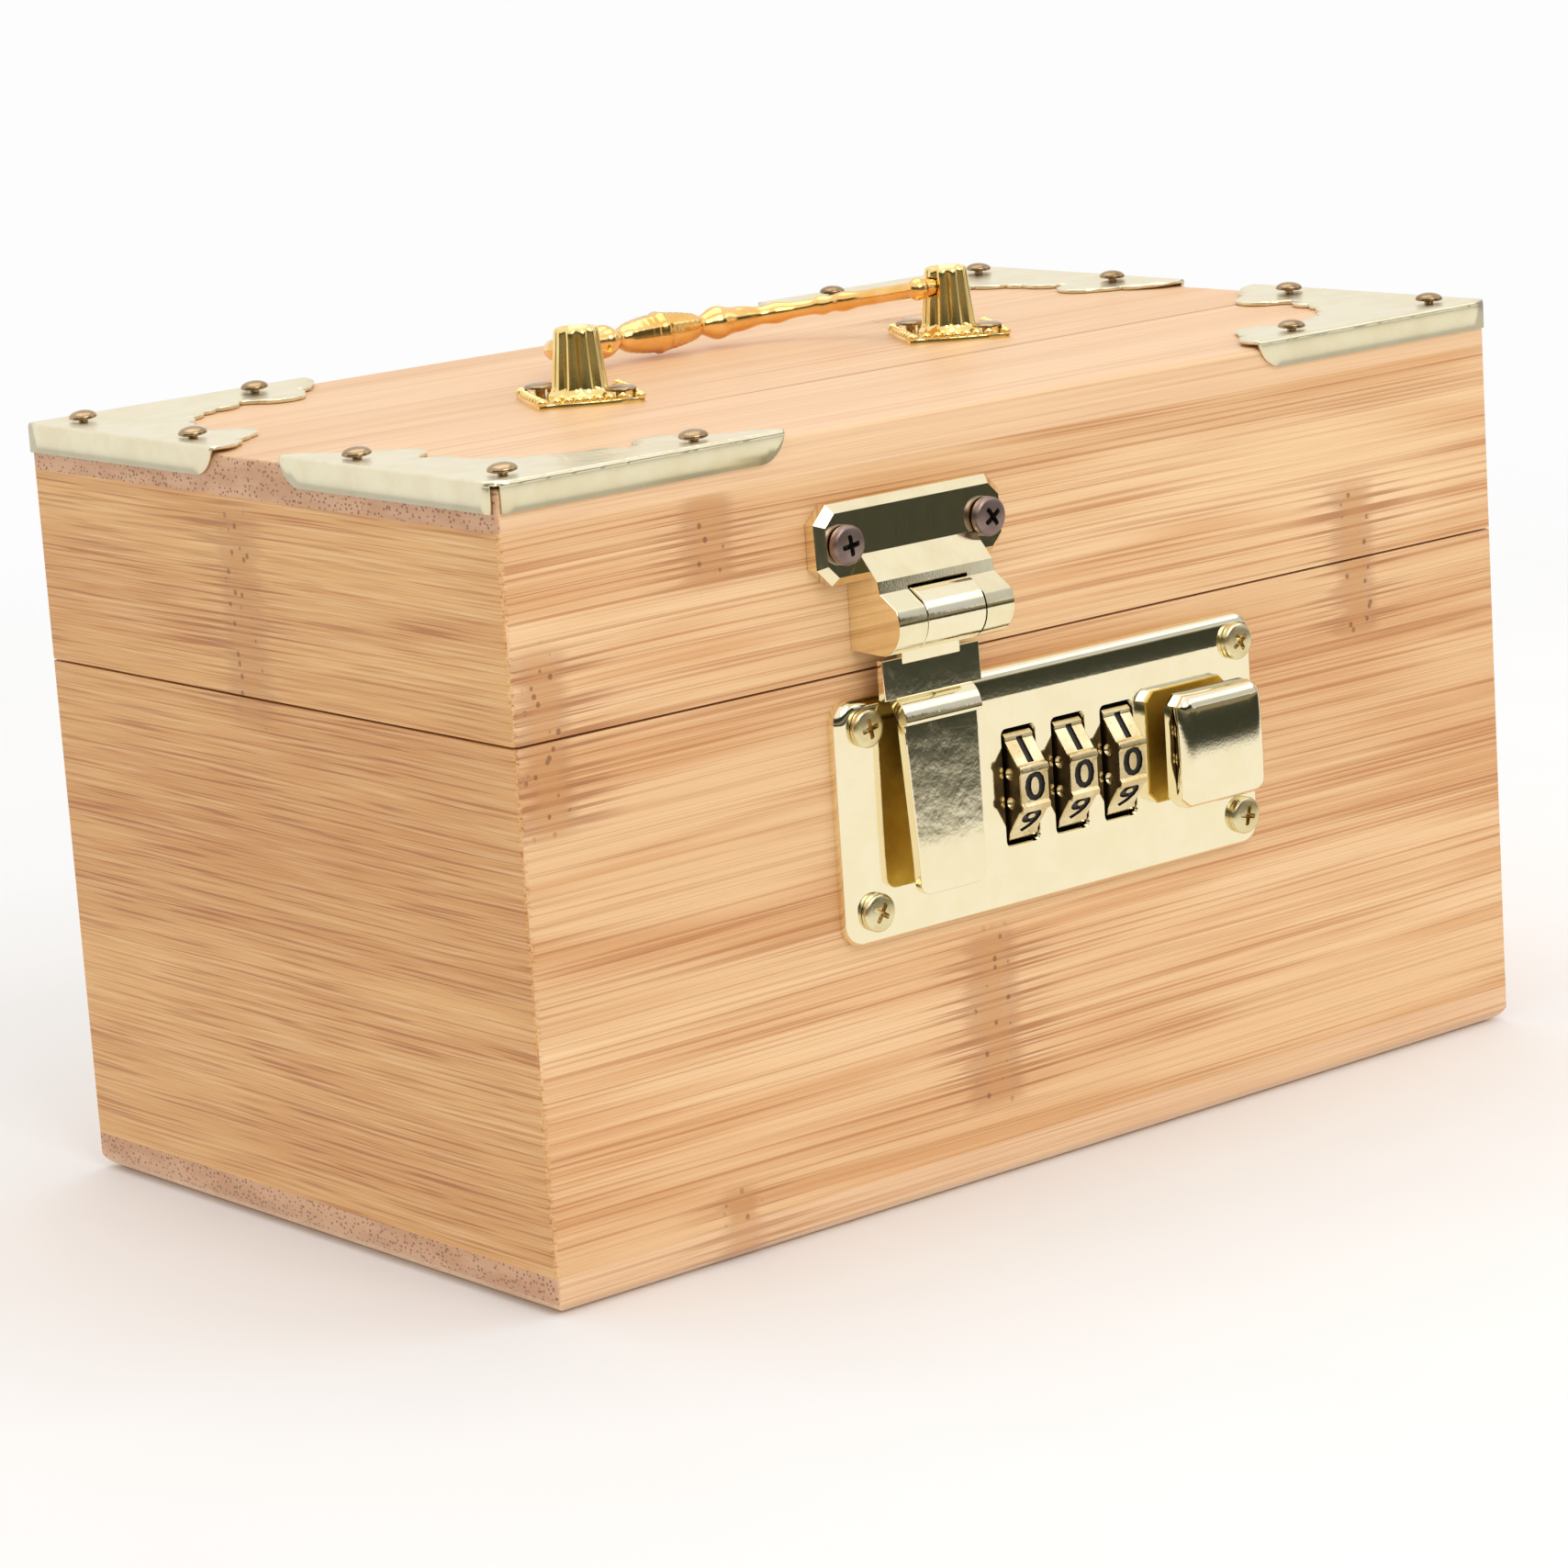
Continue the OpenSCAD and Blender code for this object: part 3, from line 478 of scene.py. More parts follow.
@dataclass(frozen=True)
class Studio:
    """Pale floor, soft lights, bright surroundings and the camera."""

    eye: tuple = (-423.8, -518.6, 189.1)
    turn: float = -39.092
    tilt: float = 12.26
    roll: float = -3.832
    lens: float = 115.84
    floor_size: float = 0.62

    def build(self) -> None:
        """Sets up everything around the object."""
        self._camera()
        self._floor()
        self._world()
        self._light("key", (-0.15, -0.95, 0.85), 0.7, 3.6, tint(255, 252, 246))
        self._light("fill", (0.9, -0.6, 0.5), 0.8, 1.2, tint(250, 251, 255))
        self._light("top", (0.1, 0.25, 1.15), 1.0, 3.4, tint(255, 253, 250))
        bpy.context.scene.view_settings.view_transform = "Standard"
        LOG.info("studio ready")

    def _camera(self) -> None:
        """Places the camera at the viewing angle, with its small roll."""
        azimuth, height, roll = (math.radians(v) for v in (self.turn, self.tilt, self.roll))
        back = Vector(
            (
                math.sin(azimuth) * math.cos(height),
                -math.cos(azimuth) * math.cos(height),
                math.sin(height),
            )
        )
        right = (-back).cross(Z_AXIS).normalized()
        up = right.cross(-back)
        side = right * math.cos(roll) + up * math.sin(roll)
        top = up * math.cos(roll) - right * math.sin(roll)
        data = bpy.data.cameras.new("camera")
        data.sensor_width = 36.0
        data.lens = self.lens
        data.clip_start, data.clip_end = 0.01, 20.0
        camera = bpy.data.objects.new("camera", data)
        turn = Matrix((side, top, back)).transposed().to_4x4()
        camera.matrix_world = Matrix.Translation(Vector(self.eye) * MM) @ turn
        bpy.context.scene.collection.objects.link(camera)
        bpy.context.scene.camera = camera

    def _floor(self) -> None:
        """A round pale floor just under the box."""
        shape = bmesh.new()
        bmesh.ops.create_circle(shape, cap_ends=True, segments=96, radius=self.floor_size)
        mesh = bpy.data.meshes.new("floor")
        shape.to_mesh(mesh)
        shape.free()
        b = Bench("floor_paper")
        place = b.place()
        speck = b.noise(place, 0.03, 2.0)
        far = b.node("ShaderNodeVectorMath", {"operation": "LENGTH"}, {0: place}, "Value")
        tone = b.blend(speck, tint(246, 246, 246), tint(250, 250, 250))
        fade = b.rise(far, 560.0, 280.0)
        mesh.materials.append(b.finish({"Base Color": tone, "Roughness": 0.9, "Alpha": fade}))
        floor = bpy.data.objects.new("floor", mesh)
        floor.visible_glossy = False
        bpy.context.scene.collection.objects.link(floor)

    @staticmethod
    def _world() -> None:
        """White surroundings, which polished metal sees as soft boxes with dark gaps between."""
        world = bpy.data.worlds.new("studio")
        world.use_nodes = True
        bench = Bench("studio_world")
        bench.tree = world.node_tree
        bench.tree.nodes.clear()
        direction = bench.node("ShaderNodeTexCoord", out="Generated")
        east, north, up = bench.split(direction)
        front = bench.ramp(
            up * 0.5 + 0.5,
            [
                (0.0, tint(255, 250, 236)),
                (0.418, tint(255, 250, 236)),
                (0.428, tint(54, 56, 44)),
                (0.466, tint(60, 62, 50)),
                (0.484, tint(146, 134, 110)),
                (0.54, tint(128, 120, 98)),
                (0.58, tint(44, 48, 36)),
                (0.69, tint(58, 62, 48)),
                (0.74, tint(255, 252, 244)),
                (1.0, tint(255, 252, 244)),
            ],
        )
        behind = bench.rise(north + east * 0.25, 0.05, 0.3)
        seen_by_metal = bench.blend(behind, front, tint(253, 250, 243))
        glossy = bench.node("ShaderNodeLightPath", out="Is Glossy Ray")
        white = tint(253, 253, 253)
        seen = bench.blend(glossy, white, seen_by_metal)
        straight = bench.node("ShaderNodeLightPath", out="Is Camera Ray")
        power = 0.74 + 0.26 * straight.most(glossy)
        shade = bench.node("ShaderNodeBackground", None, {"Color": seen, "Strength": power})
        bench.node("ShaderNodeOutputWorld", None, {"Surface": shade})
        bpy.data.materials.remove(bench.material)
        bpy.context.scene.world = world

    @staticmethod
    def _light(name: str, spot: tuple, size: float, power: float, colour: tuple) -> None:
        """Adds a square soft light that looks at the box.

        Args:
            name: The lamp's name.
            spot: Where it hangs, in metres.
            size: Its side, in metres.
            power: Its power in watts.
            colour: Its colour.
        """
        data = bpy.data.lights.new(name, "AREA")
        data.size = size
        data.energy = power
        data.color = colour[:3]
        lamp = bpy.data.objects.new(name, data)
        lamp.location = spot
        box_middle = Vector((0, 0, 0.05))
        aim = box_middle - Vector(spot)
        lamp.rotation_euler = aim.to_track_quat("-Z", "Y").to_euler()
        bpy.context.scene.collection.objects.link(lamp)


class Finishes:
    """Every material of the box, made once."""

    def __init__(self) -> None:
        """Makes the materials by name."""
        front = (
            Knot(-79.5, 58.0, 81.5),
            Knot(-53.0, 84.0, 96.0),
            Knot(57.0, 59.0, 81.0),
            Knot(-12.0, 9.5, 33.5, 5.0),
            Knot(-55.0, 4.0, 10.0, 3.0),
        )
        side = (Knot(4.0, 66.0, 94.0, 5.0, 0.4),)
        back = (Knot(30.0, 24.0, 44.0), Knot(-60.0, 62.0, 80.0), Knot(66.0, 80.0, 95.0))
        self.front = Bamboo("bamboo_front", Grain.FRONT_WALL, front).make()
        self.back = Bamboo("bamboo_back", Grain.FRONT_WALL, back, shift=9.0).make()
        # Side walls: base, pale and line are a darker, more saturated copy of the bamboo colours, which
        # is painted shade on the side walls; the knot, dash and contrast are the boards' own grain.
        self.side = Bamboo(
            "bamboo_side_painted_shade",
            Grain.SIDE_WALL,
            side,
            shift=1.0,
            dash=0.04,
            contrast=0.72,
            base=tint(222, 164, 102),
            pale=tint(236, 184, 120),
            line=tint(178, 108, 58),
        ).make()
        self.bottom = Bamboo(
            "bamboo_bottom",
            Grain.FLAT_BOARD,
            (Knot(-55.0, -52.0, -30.0),),
            base=tint(230, 184, 140),
            pale=tint(240, 200, 160),
            line=tint(204, 146, 98),
            ends=True,
        ).make()
        self.top = Bamboo(
            "bamboo_top",
            Grain.FLAT_BOARD,
            (Knot(40.0, 6.0, 24.0, 3.6, 0.45),),
            strip=23.0,
            contrast=0.5,
            base=tint(238, 194, 150),
            pale=tint(244, 204, 162),
            line=tint(214, 158, 112),
            ends=True,
            scratch=True,
        ).make()
        self.mirror = Metal(
            "gold_mirror", tint(248, 240, 214), tint(246, 236, 206), 0.05, 0.03, 0.0035, 2.6
        ).make()
        self.wavy = Metal(
            "gold_wavy", tint(248, 240, 214), tint(246, 236, 206), 0.06, 0.04, 0.016, 0.36
        ).make()
        self.brushed = Metal(
            "gold_brushed", tint(246, 237, 206), tint(240, 228, 194), 0.05, 0.03, 0.003, 3.0, 0.12, 2
        ).make()
        self.pale = Metal(
            "brass_pale", tint(238, 231, 206), tint(232, 223, 194), 0.22, 0.05, 0.002, 2.0, 0.25, 2,
            scroll=0.05,
        ).make()
        # Back faces of the flap and knob: the higher roughness is a satin finish, but the deeper, more
        # saturated gold is painted shade and painted gold-on-gold reflection from the plate behind them.
        self.satin = Metal(
            "gold_satin_back_painted_shade_and_reflection", tint(244, 214, 118), tint(226, 190, 92), 0.42, 0.15, 0.01, 3.0
        ).make()
        self.rich = Metal(
            "gold_rich", tint(252, 228, 160), tint(246, 212, 132), 0.14, 0.08, 0.006, 2.6
        ).make()
        self.cast = Metal(
            "gold_cast", tint(252, 212, 142), tint(246, 192, 108), 0.14, 0.08, 0.004, 2.4
        ).make()
        self.wheel = Metal(
            "wheel_gold", tint(236, 220, 182), tint(212, 188, 138), 0.16, 0.1, 0.006, 3.0, tarnish=0.5
        ).make()
        self.wheel_side = Metal(
            "wheel_side_dark", tint(104, 84, 56), tint(58, 46, 32), 0.34, 0.15, 0.01, 2.5, tarnish=0.6
        ).make()
        self.screw = Metal(
            "screw_gold", tint(238, 228, 192), tint(222, 204, 150), 0.22, 0.1, 0.005, 3.0
        ).make()
        self.tack = Metal(
            "tack_brass", tint(184, 158, 124), tint(140, 114, 84), 0.16, 0.1, 0.001, 2.6, tarnish=0.4
        ).make()
        self.bronze = Metal(
            "bronze_dark", tint(158, 138, 134), tint(128, 108, 104), 0.3, 0.12, 0.006, 3.0
        ).make()
        self.zinc = Metal(
            "zinc_plate", tint(196, 198, 202), tint(170, 172, 178), 0.28, 0.12, 0.004, 3.0, 0.2, 0
        ).make()
        self.ink = self._ink()
        LOG.info("finishes ready")

    @staticmethod
    def _ink() -> bpy.types.Material:
        """Black enamel in the engraved digits and the cross slots."""
        b = Bench("black_enamel")
        cloud = b.noise(b.place(), 2.0, 3.0)
        tone = b.blend(cloud, tint(18, 16, 14), tint(40, 34, 26))
        return b.finish({"Base Color": tone, "Roughness": 0.45 + cloud * 0.2})


# ---------------------------------------------------------------- mesh tools


@dataclass(frozen=True)
class Block:
    """The room that a CAD node fills at rest, in millimetres."""

    low: Vector
    high: Vector

    @classmethod
    def of(cls, node: str) -> "Block":
        """Measures a CAD node."""
        low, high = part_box(node)
        return cls(low / MM, high / MM)

    @property
    def mid(self) -> Vector:
        """The middle."""
        return (self.low + self.high) / 2

    @property
    def size(self) -> Vector:
        """The three sides."""
        return self.high - self.low


def arc(start: Sequence[float], end: Sequence[float], bulge: float, steps: int = 6) -> list[tuple]:
    """Points of a flat arc between two points, without the first.

    Args:
        start: First point.
        end: Last point.
        bulge: Height of the arc's middle over its chord, on the left of the way.
        steps: Number of straight pieces.

    Returns:
        The points after start, up to and with end.
    """
    a, c = Vector(start), Vector(end)
    chord = c - a
    if abs(bulge) < 1e-6:
        return [tuple(c)]
    half = chord.length / 2
    radius = (half * half + bulge * bulge) / (2 * abs(bulge))
    side = Vector((-chord.y, chord.x)).normalized() * (1 if bulge > 0 else -1)
    centre = (a + c) / 2 + side * (abs(bulge) - radius)
    first = a - centre
    sweep = 2 * math.asin(min(1.0, half / radius))
    sweep = sweep if abs(bulge) <= half else 2 * math.pi - sweep
    sweep *= -1 if bulge > 0 else 1
    points = []
    for i in range(1, steps + 1):
        turn = Matrix.Rotation(sweep * i / steps, 2)
        points.append(tuple(centre + turn @ first))
    return points


def rounded_outline(width: float, height: float, radius: float, steps: int = 6) -> list[tuple]:
    """Draws a rectangle with rounded corners round the origin.

    Args:
        width: Its size along X.
        height: Its size along Y.
        radius: Radius of the corners.
        steps: Number of straight pieces in each corner.

    Returns:
        The points, anticlockwise.
    """
    points = []
    for i, (sx, sy) in enumerate(((1, -1), (1, 1), (-1, 1), (-1, -1))):
        centre = Vector((sx * (width / 2 - radius), sy * (height / 2 - radius)))
        for k in range(steps + 1):
            angle = math.radians(-90 + 90 * i + 90 * k / steps)
            points.append(tuple(centre + radius * Vector((math.cos(angle), math.sin(angle)))))
    return points


def clipped_outline(width: float, height: float, cut: float) -> list[tuple]:
    """A rectangle with its corners cut off, anticlockwise."""
    return rounded_outline(width, height, cut, 1)


def _quarter(steps: int) -> list[float]:
    """Angles from 0 to a quarter turn."""
    return [math.pi / 2 * i / steps for i in range(steps + 1)]


def _loop(ring: Sequence) -> list:
    """Edges that join the vertices of one ring."""
    members = set(ring)
    return list(dict.fromkeys(e for v in ring for e in v.link_edges if e.other_vert(v) in members))


class Workpiece:
    """A mesh being shaped, in millimetres."""

    def __init__(self) -> None:
        """Starts empty."""
        self.bm = bmesh.new()

    def slab(self, outline: Iterable[tuple], low: float, high: float) -> list:
        """Extrudes a flat outline along Z.

        Args:
            outline: Points in the XY plane, anticlockwise.
            low: Height of the lower face.
            high: Height of the upper face.

        Returns:
            The vertices of the new solid.
        """
        verts = [self.bm.verts.new((p[0], p[1], low)) for p in outline]
        face = self.bm.faces.new(verts)
        grown = bmesh.ops.extrude_face_region(self.bm, geom=[face])
        top = [v for v in grown["geom"] if isinstance(v, bmesh.types.BMVert)]
        bmesh.ops.translate(self.bm, verts=top, vec=(0, 0, high - low))
        return verts + top

    def lathe(self, profile: Sequence[tuple], steps: int = 40) -> list:
        """Spins a profile of (radius, height) points round Z.

        Args:
            profile: Points from one pole or rim to the other.
            steps: Number of faces round the axis.

        Returns:
            The vertices of the new solid.
        """
        verts = [self.bm.verts.new((r, 0, h)) for r, h in profile]
        edges = [self.bm.edges.new(pair) for pair in zip(verts, verts[1:])]
        before = set(self.bm.verts) - set(verts)
        bmesh.ops.spin(
            self.bm,
            geom=verts + edges,
            axis=(0, 0, 1),
            cent=(0, 0, 0),
            angle=2 * math.pi,
            steps=steps,
            use_merge=True,
        )
        made = [v for v in self.bm.verts if v not in before]
        bmesh.ops.remove_doubles(self.bm, verts=made, dist=1e-4)
        return [v for v in self.bm.verts if v not in before]

    def loft(self, rings: Sequence[Sequence[tuple]]) -> list:
        """Bridges closed rings of points into one solid with flat ends.

        Args:
            rings: Each ring's points in order; all rings have the same number.

        Returns:
            The vertices of the new solid.
        """
        rows = []
        for ring in rings:
            row = [self.bm.verts.new(point) for point in ring]
            for pair in zip(row, row[1:] + row[:1]):
                self.bm.edges.new(pair)
            rows.append(row)
        self.skin(rows)
        return [vert for row in rows for vert in row]

    def skin(self, rows: Sequence[Sequence]) -> None:
        """Bridges rings of vertices one after another and closes both ends.

        Args:
            rows: The rings, each already joined by edges, with the same number of vertices.
        """
        bmesh.ops.contextual_create(self.bm, geom=_loop(rows[0]))
        for low, high in zip(rows, rows[1:]):
            bmesh.ops.bridge_loops(self.bm, edges=_loop(low) + _loop(high))
        bmesh.ops.contextual_create(self.bm, geom=_loop(rows[-1]))

    def move(self, verts: Iterable, matrix: Matrix) -> None:
        """Applies a transform to some vertices."""
        bmesh.ops.transform(self.bm, matrix=matrix, verts=list(verts))

    def soften(self, pick: Callable, width: float, segments: int = 2) -> None:
        """Bevels the edges that pick chooses.

        Args:
            pick: Takes an edge and says whether it is bevelled.
            width: Width of the bevel.
            segments: Number of faces across it.
        """
        edges = [e for e in self.bm.edges if pick(e)]
        bmesh.ops.bevel(
            self.bm,
            geom=edges,
            offset=width,
            offset_type="OFFSET",
            segments=segments,
            profile=0.5,
            affect="EDGES",
            clamp_overlap=True,
            material=-1,
        )

    def mesh(self, name: str, *materials: bpy.types.Material) -> bpy.types.Mesh:
        """Closes the work as a mesh that is still in millimetres.

        Args:
            name: The mesh's name.
            materials: Its materials.

        Returns:
            The mesh.
        """
        bmesh.ops.remove_doubles(self.bm, verts=self.bm.verts, dist=1e-4)
        bmesh.ops.recalc_face_normals(self.bm, faces=self.bm.faces)
        mesh = bpy.data.meshes.new(name)
        self.bm.to_mesh(mesh)
        self.bm.free()
        for material in materials:
            mesh.materials.append(material)
        return mesh


def sharp(edge: bmesh.types.BMEdge, degrees: float = 30.0) -> bool:
    """Says whether two faces meet at an edge by more than an angle."""
    return len(edge.link_faces) == 2 and edge.calc_face_angle(0.0) > math.radians(degrees)


def carved(blank: bpy.types.Mesh, cutter: bpy.types.Mesh) -> bpy.types.Mesh:
    """Takes one closed mesh out of another.

    Args:
        blank: The mesh that is cut.
        cutter: The mesh that is taken away; its material stays on the cut faces.

    Returns:
        A new mesh.
    """
    scene = bpy.context.scene.collection.objects
    body, tool = bpy.data.objects.new("blank", blank), bpy.data.objects.new("tool", cutter)
    scene.link(body)
    scene.link(tool)
    cut = body.modifiers.new("cut", "BOOLEAN")
    cut.object, cut.operation, cut.solver = tool, "DIFFERENCE", "EXACT"
    cut.use_self, cut.material_mode = True, "TRANSFER"
    graph = bpy.context.evaluated_depsgraph_get()
    made = bpy.data.meshes.new_from_object(body.evaluated_get(graph))
    for thing in (body, tool):
        bpy.data.objects.remove(thing)
    return made


def joined(meshes: Iterable[tuple[bpy.types.Mesh, Matrix]], name: str) -> bpy.types.Mesh:
    """Puts placed copies of meshes together in one mesh.

    Args:
        meshes: Pairs of a mesh and where it goes.
        name: Name of the new mesh.

    Returns:
        The new mesh, with the materials of the first one.
    """
    bm = bmesh.new()
    materials = []
    for mesh, matrix in meshes:
        materials = materials or list(mesh.materials)
        start = len(bm.verts)
        bm.from_mesh(mesh)
        bm.verts.ensure_lookup_table()
        bmesh.ops.transform(bm, matrix=matrix, verts=bm.verts[start:])
    made = bpy.data.meshes.new(name)
    bm.to_mesh(made)
    bm.free()
    for material in materials:
        made.materials.append(material)
    return made


def place_piece(
    mesh: bpy.types.Mesh,
    name: str,
    body: str,
    nodes: Sequence[str],
    material: Optional[bpy.types.Material] = None,
    angle: float = 32.0,
) -> bpy.types.Object:
    """Turns a mesh in millimetres into a piece of the object.

    Args:
        mesh: The finished shape.
        name: The piece's name.
        body: The CAD body that it rides on.
        nodes: The CAD nodes that it stands for.
        material: Its material, where the mesh has none yet.
        angle: Edges sharper than this stay crisp.

    Returns:
        The new object.
    """
    mesh.transform(Matrix.Scale(MM, 4))
    if material is not None:
        mesh.materials.clear()
        mesh.materials.append(material)
    mesh.shade_smooth()
    mesh.set_sharp_from_angle(angle=math.radians(angle))
    piece = bpy.data.objects.new(name, mesh)
    bpy.context.scene.collection.objects.link(piece)
    weigh = piece.modifiers.new("even_shading", "WEIGHTED_NORMAL")
    weigh.keep_sharp = True
    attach(piece, body)
    if nodes:
        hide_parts(*nodes)
    LOG.info("%s: %d faces", name, len(mesh.polygons))
    return piece


def pivot_of(joint: str) -> Vector:
    """The middle of a joint of the frame, in millimetres."""
    return Vector(next(j for j in frame["joints"] if j["name"] == joint)["pos_m"]) / MM


def cad_copy(node: str) -> Workpiece:
    """A merged, cleaned copy of a CAD node's mesh."""
    work = Workpiece()
    work.bm.from_mesh(frame["nodes"][node].data)
    bmesh.ops.scale(work.bm, vec=(1 / MM,) * 3, verts=work.bm.verts)
    bmesh.ops.remove_doubles(work.bm, verts=work.bm.verts, dist=2e-3)
    bmesh.ops.dissolve_limit(
        work.bm, angle_limit=math.radians(0.6), verts=work.bm.verts, edges=work.bm.edges
    )
    return work


def upright_front(x: float, y: float, z: float) -> Matrix:
    """Stands a shape drawn in XY, with its top along +Z, against the front face, facing -Y."""
    return Matrix.Translation((x, y, z)) @ Matrix.Rotation(math.radians(90), 4, "X")


# ---------------------------------------------------------------- sub-assemblies


@dataclass
class BambooBox:
    """The ten boards of the box and its lid."""

    finishes: Finishes
    seam_soft: float = 0.22

    def build(self) -> None:
        """Softens the edges at the cut and gives each board its grain."""
        seam_low = Block.of("panel_front").high.z
        seam_high = Block.of("lid_front").low.z
        looks = {"front": self.finishes.front, "back": self.finishes.back}
        # Both side walls take the darker bamboo copy, which paints shade on them.
        looks.update({"left": self.finishes.side, "right": self.finishes.side})
        for half, body, seam in (("panel", "base", seam_low), ("lid", "lid", seam_high)):
            for side, look in looks.items():
                node = f"{half}_{side}"
                work = cad_copy(node)
                work.soften(lambda e, h=seam: self._on_seam(e, h), self.seam_soft)
                mesh = work.mesh(node + "_board")
                place_piece(mesh, node + "_board", body, [node], look)
        for node, body, slot, look in (
            ("panel_bottom", "base", "bamboo", self.finishes.bottom),
            ("lid_top", "lid", "bamboo_pale", self.finishes.top),
        ):
            mesh = cad_copy(node).mesh(node + "_board")
            place_piece(mesh, node + "_board", body, [node], look, 40.0)

    @staticmethod
    def _on_seam(edge: bmesh.types.BMEdge, height: float) -> bool:
        """Says whether an edge runs along a wall at the cut's height."""
        a, b = (v.co for v in edge.verts)
        level = abs(a.z - height) < 0.02 and abs(b.z - height) < 0.02
        along = abs(a.x - b.x) < 0.02 or abs(a.y - b.y) < 0.02
        return level and along and sharp(edge)


@dataclass
class CornerBrackets:
    """Four stamped sheet brackets and their domed tacks."""

    finishes: Finishes
    leg: float = 43.5
    drop: float = 2.8
    sheet: float = 0.5
    top: float = 1.0
    corner_gap: float = 0.6
    bend_r: float = 0.55
    dish: float = 0.42
    tack_r: float = 1.85
    tack_spots: tuple = ((5.2, 5.2), (33.0, 4.0), (4.0, 33.0))

    def build(self) -> None:
        """Makes one bracket, mirrors it to the four corners and drives in the tacks."""
        lid = Block.of("lid_top")
        for name, sx, sy in (
            ("front_left", 1, 1),
            ("front_right", -1, 1),
            ("back_left", 1, -1),
            ("back_right", -1, -1),
        ):
            corner = Vector((-sx * lid.high.x, -sy * lid.high.y, lid.high.z))
            work = self._sheet()
            flip = Matrix.Diagonal((sx, sy, 1, 1))
            work.move(work.bm.verts, Matrix.Translation(corner) @ flip)
            mesh = work.mesh("bracket_" + name + "_sheet")
            piece = place_piece(
                mesh, mesh.name, "lid", ["bracket_" + name], self.finishes.pale, 50.0
            )
            wall = piece.modifiers.new("thickness", "SOLIDIFY")
            wall.thickness = self.sheet * MM
            wall.offset = -1.0
        self._tacks()

    def _half_outline(self) -> list[tuple]:
        """Scalloped inner edge of one leg, from its end to the diagonal."""
        stops = [
            ((self.leg, -self.sheet), 0.0),
            ((41.2, 5.4), 1.0),
            ((38.2, 7.2), 0.5),
            ((36.6, 10.3), 0.35),
            ((29.6, 11.9), 2.1),
            ((27.0, 9.0), -0.5),
            ((21.8, 11.4), 1.2),
            ((19.0, 12.4), 0.5),
            ((15.2, 15.2), 0.8),
        ]
        points = [stops[0][0]]
        for (end, bulge), (start, _) in zip(stops[1:], stops):
            points += arc(start, end, -bulge, 5)
        return points

    def _sheet(self) -> Workpiece:
        """Bent sheet without thickness: a top and two flanges, with rounded bends."""
        work = Workpiece()
        new = work.bm.verts.new
        gap, side, top, low = self.corner_gap, self.sheet, self.top, -self.drop
        half = self._half_outline()
        flat = [(gap, -side)] + half + [(q, p) for p, q in reversed(half[:-1])] + [(-side, gap)]
        flat.append((gap * 0.2, gap * 0.2))
        ring = [new((p[0], p[1], top)) for p in flat]
        work.bm.faces.new(ring)
        curve = arc((self.leg, top), (self.leg - 4.7, low), 1.3, 8)
        for start, end, swap in ((ring[0], ring[1], False), (ring[-2], ring[-3], True)):
            path = curve + [(gap, low)]
            lower = [new((-side, u, w) if swap else (u, -side, w)) for u, w in path]
            work.bm.faces.new([start, end] + lower)
        bends = [e for e in work.bm.edges if len(e.link_faces) == 2]
        bmesh.ops.recalc_face_normals(work.bm, faces=work.bm.faces)
        if max(work.bm.faces, key=lambda f: f.calc_area()).normal.z < 0:
            bmesh.ops.reverse_faces(work.bm, faces=work.bm.faces)
        bmesh.ops.bevel(
            work.bm,
            geom=bends,
            offset=self.bend_r,
            segments=4,
            profile=0.5,
            affect="EDGES",
            material=-1,
        )
        self._dish(work)
        return work

    def _dish(self, work: Workpiece) -> None:
        """Cuts the top into strips and lets it sink from the bends towards the scallops."""
        for angle in (45, -45, 0, 90):
            turn = math.radians(angle)
            for step in range(-12, 20):
                bmesh.ops.bisect_plane(
                    work.bm,
                    geom=work.bm.verts[:] + work.bm.edges[:] + work.bm.faces[:],
                    plane_co=Vector((math.cos(turn), math.sin(turn), 0)) * step * 2.4,
                    plane_no=(math.cos(turn), math.sin(turn), 0),
                )
        for vert in work.bm.verts:
            if vert.co.z > 0.5:
                inward = min(vert.co.x, vert.co.y)
                vert.co.z -= self.dish * min(1.0, max(0.0, inward / 7.0)) ** 1.3

    def _tacks(self) -> None:
        """Twelve domed tacks, standing a little off the sheet."""
        lid = Block.of("lid_top")
        work = Workpiece()
        stand = self.top + 0.22
        r = self.tack_r
        dome = [(r * math.cos(a), stand + 0.2 + 0.85 * math.sin(a)) for a in _quarter(8)]
        profile = [(0.0, -3.8), (0.62, -3.6), (0.62, stand), (r - 0.25, stand - 0.02)]
        profile.append((r - 0.02, stand + 0.1))
        for sx in (-1, 1):
            for sy in (-1, 1):
                for u, v in self.tack_spots:
                    spot = Vector((sx * (lid.high.x - u), sy * (lid.high.y - v), lid.high.z))
                    lean = Matrix.Rotation(math.radians(2.5 * sx), 4, "Y")
                    verts = work.lathe(profile + dome, 32)
                    work.move(verts, Matrix.Translation(spot) @ lean)
        mesh = work.mesh("bracket_tack_heads")
        place_piece(mesh, mesh.name, "lid", ["bracket_tacks"], self.finishes.tack, 50.0)


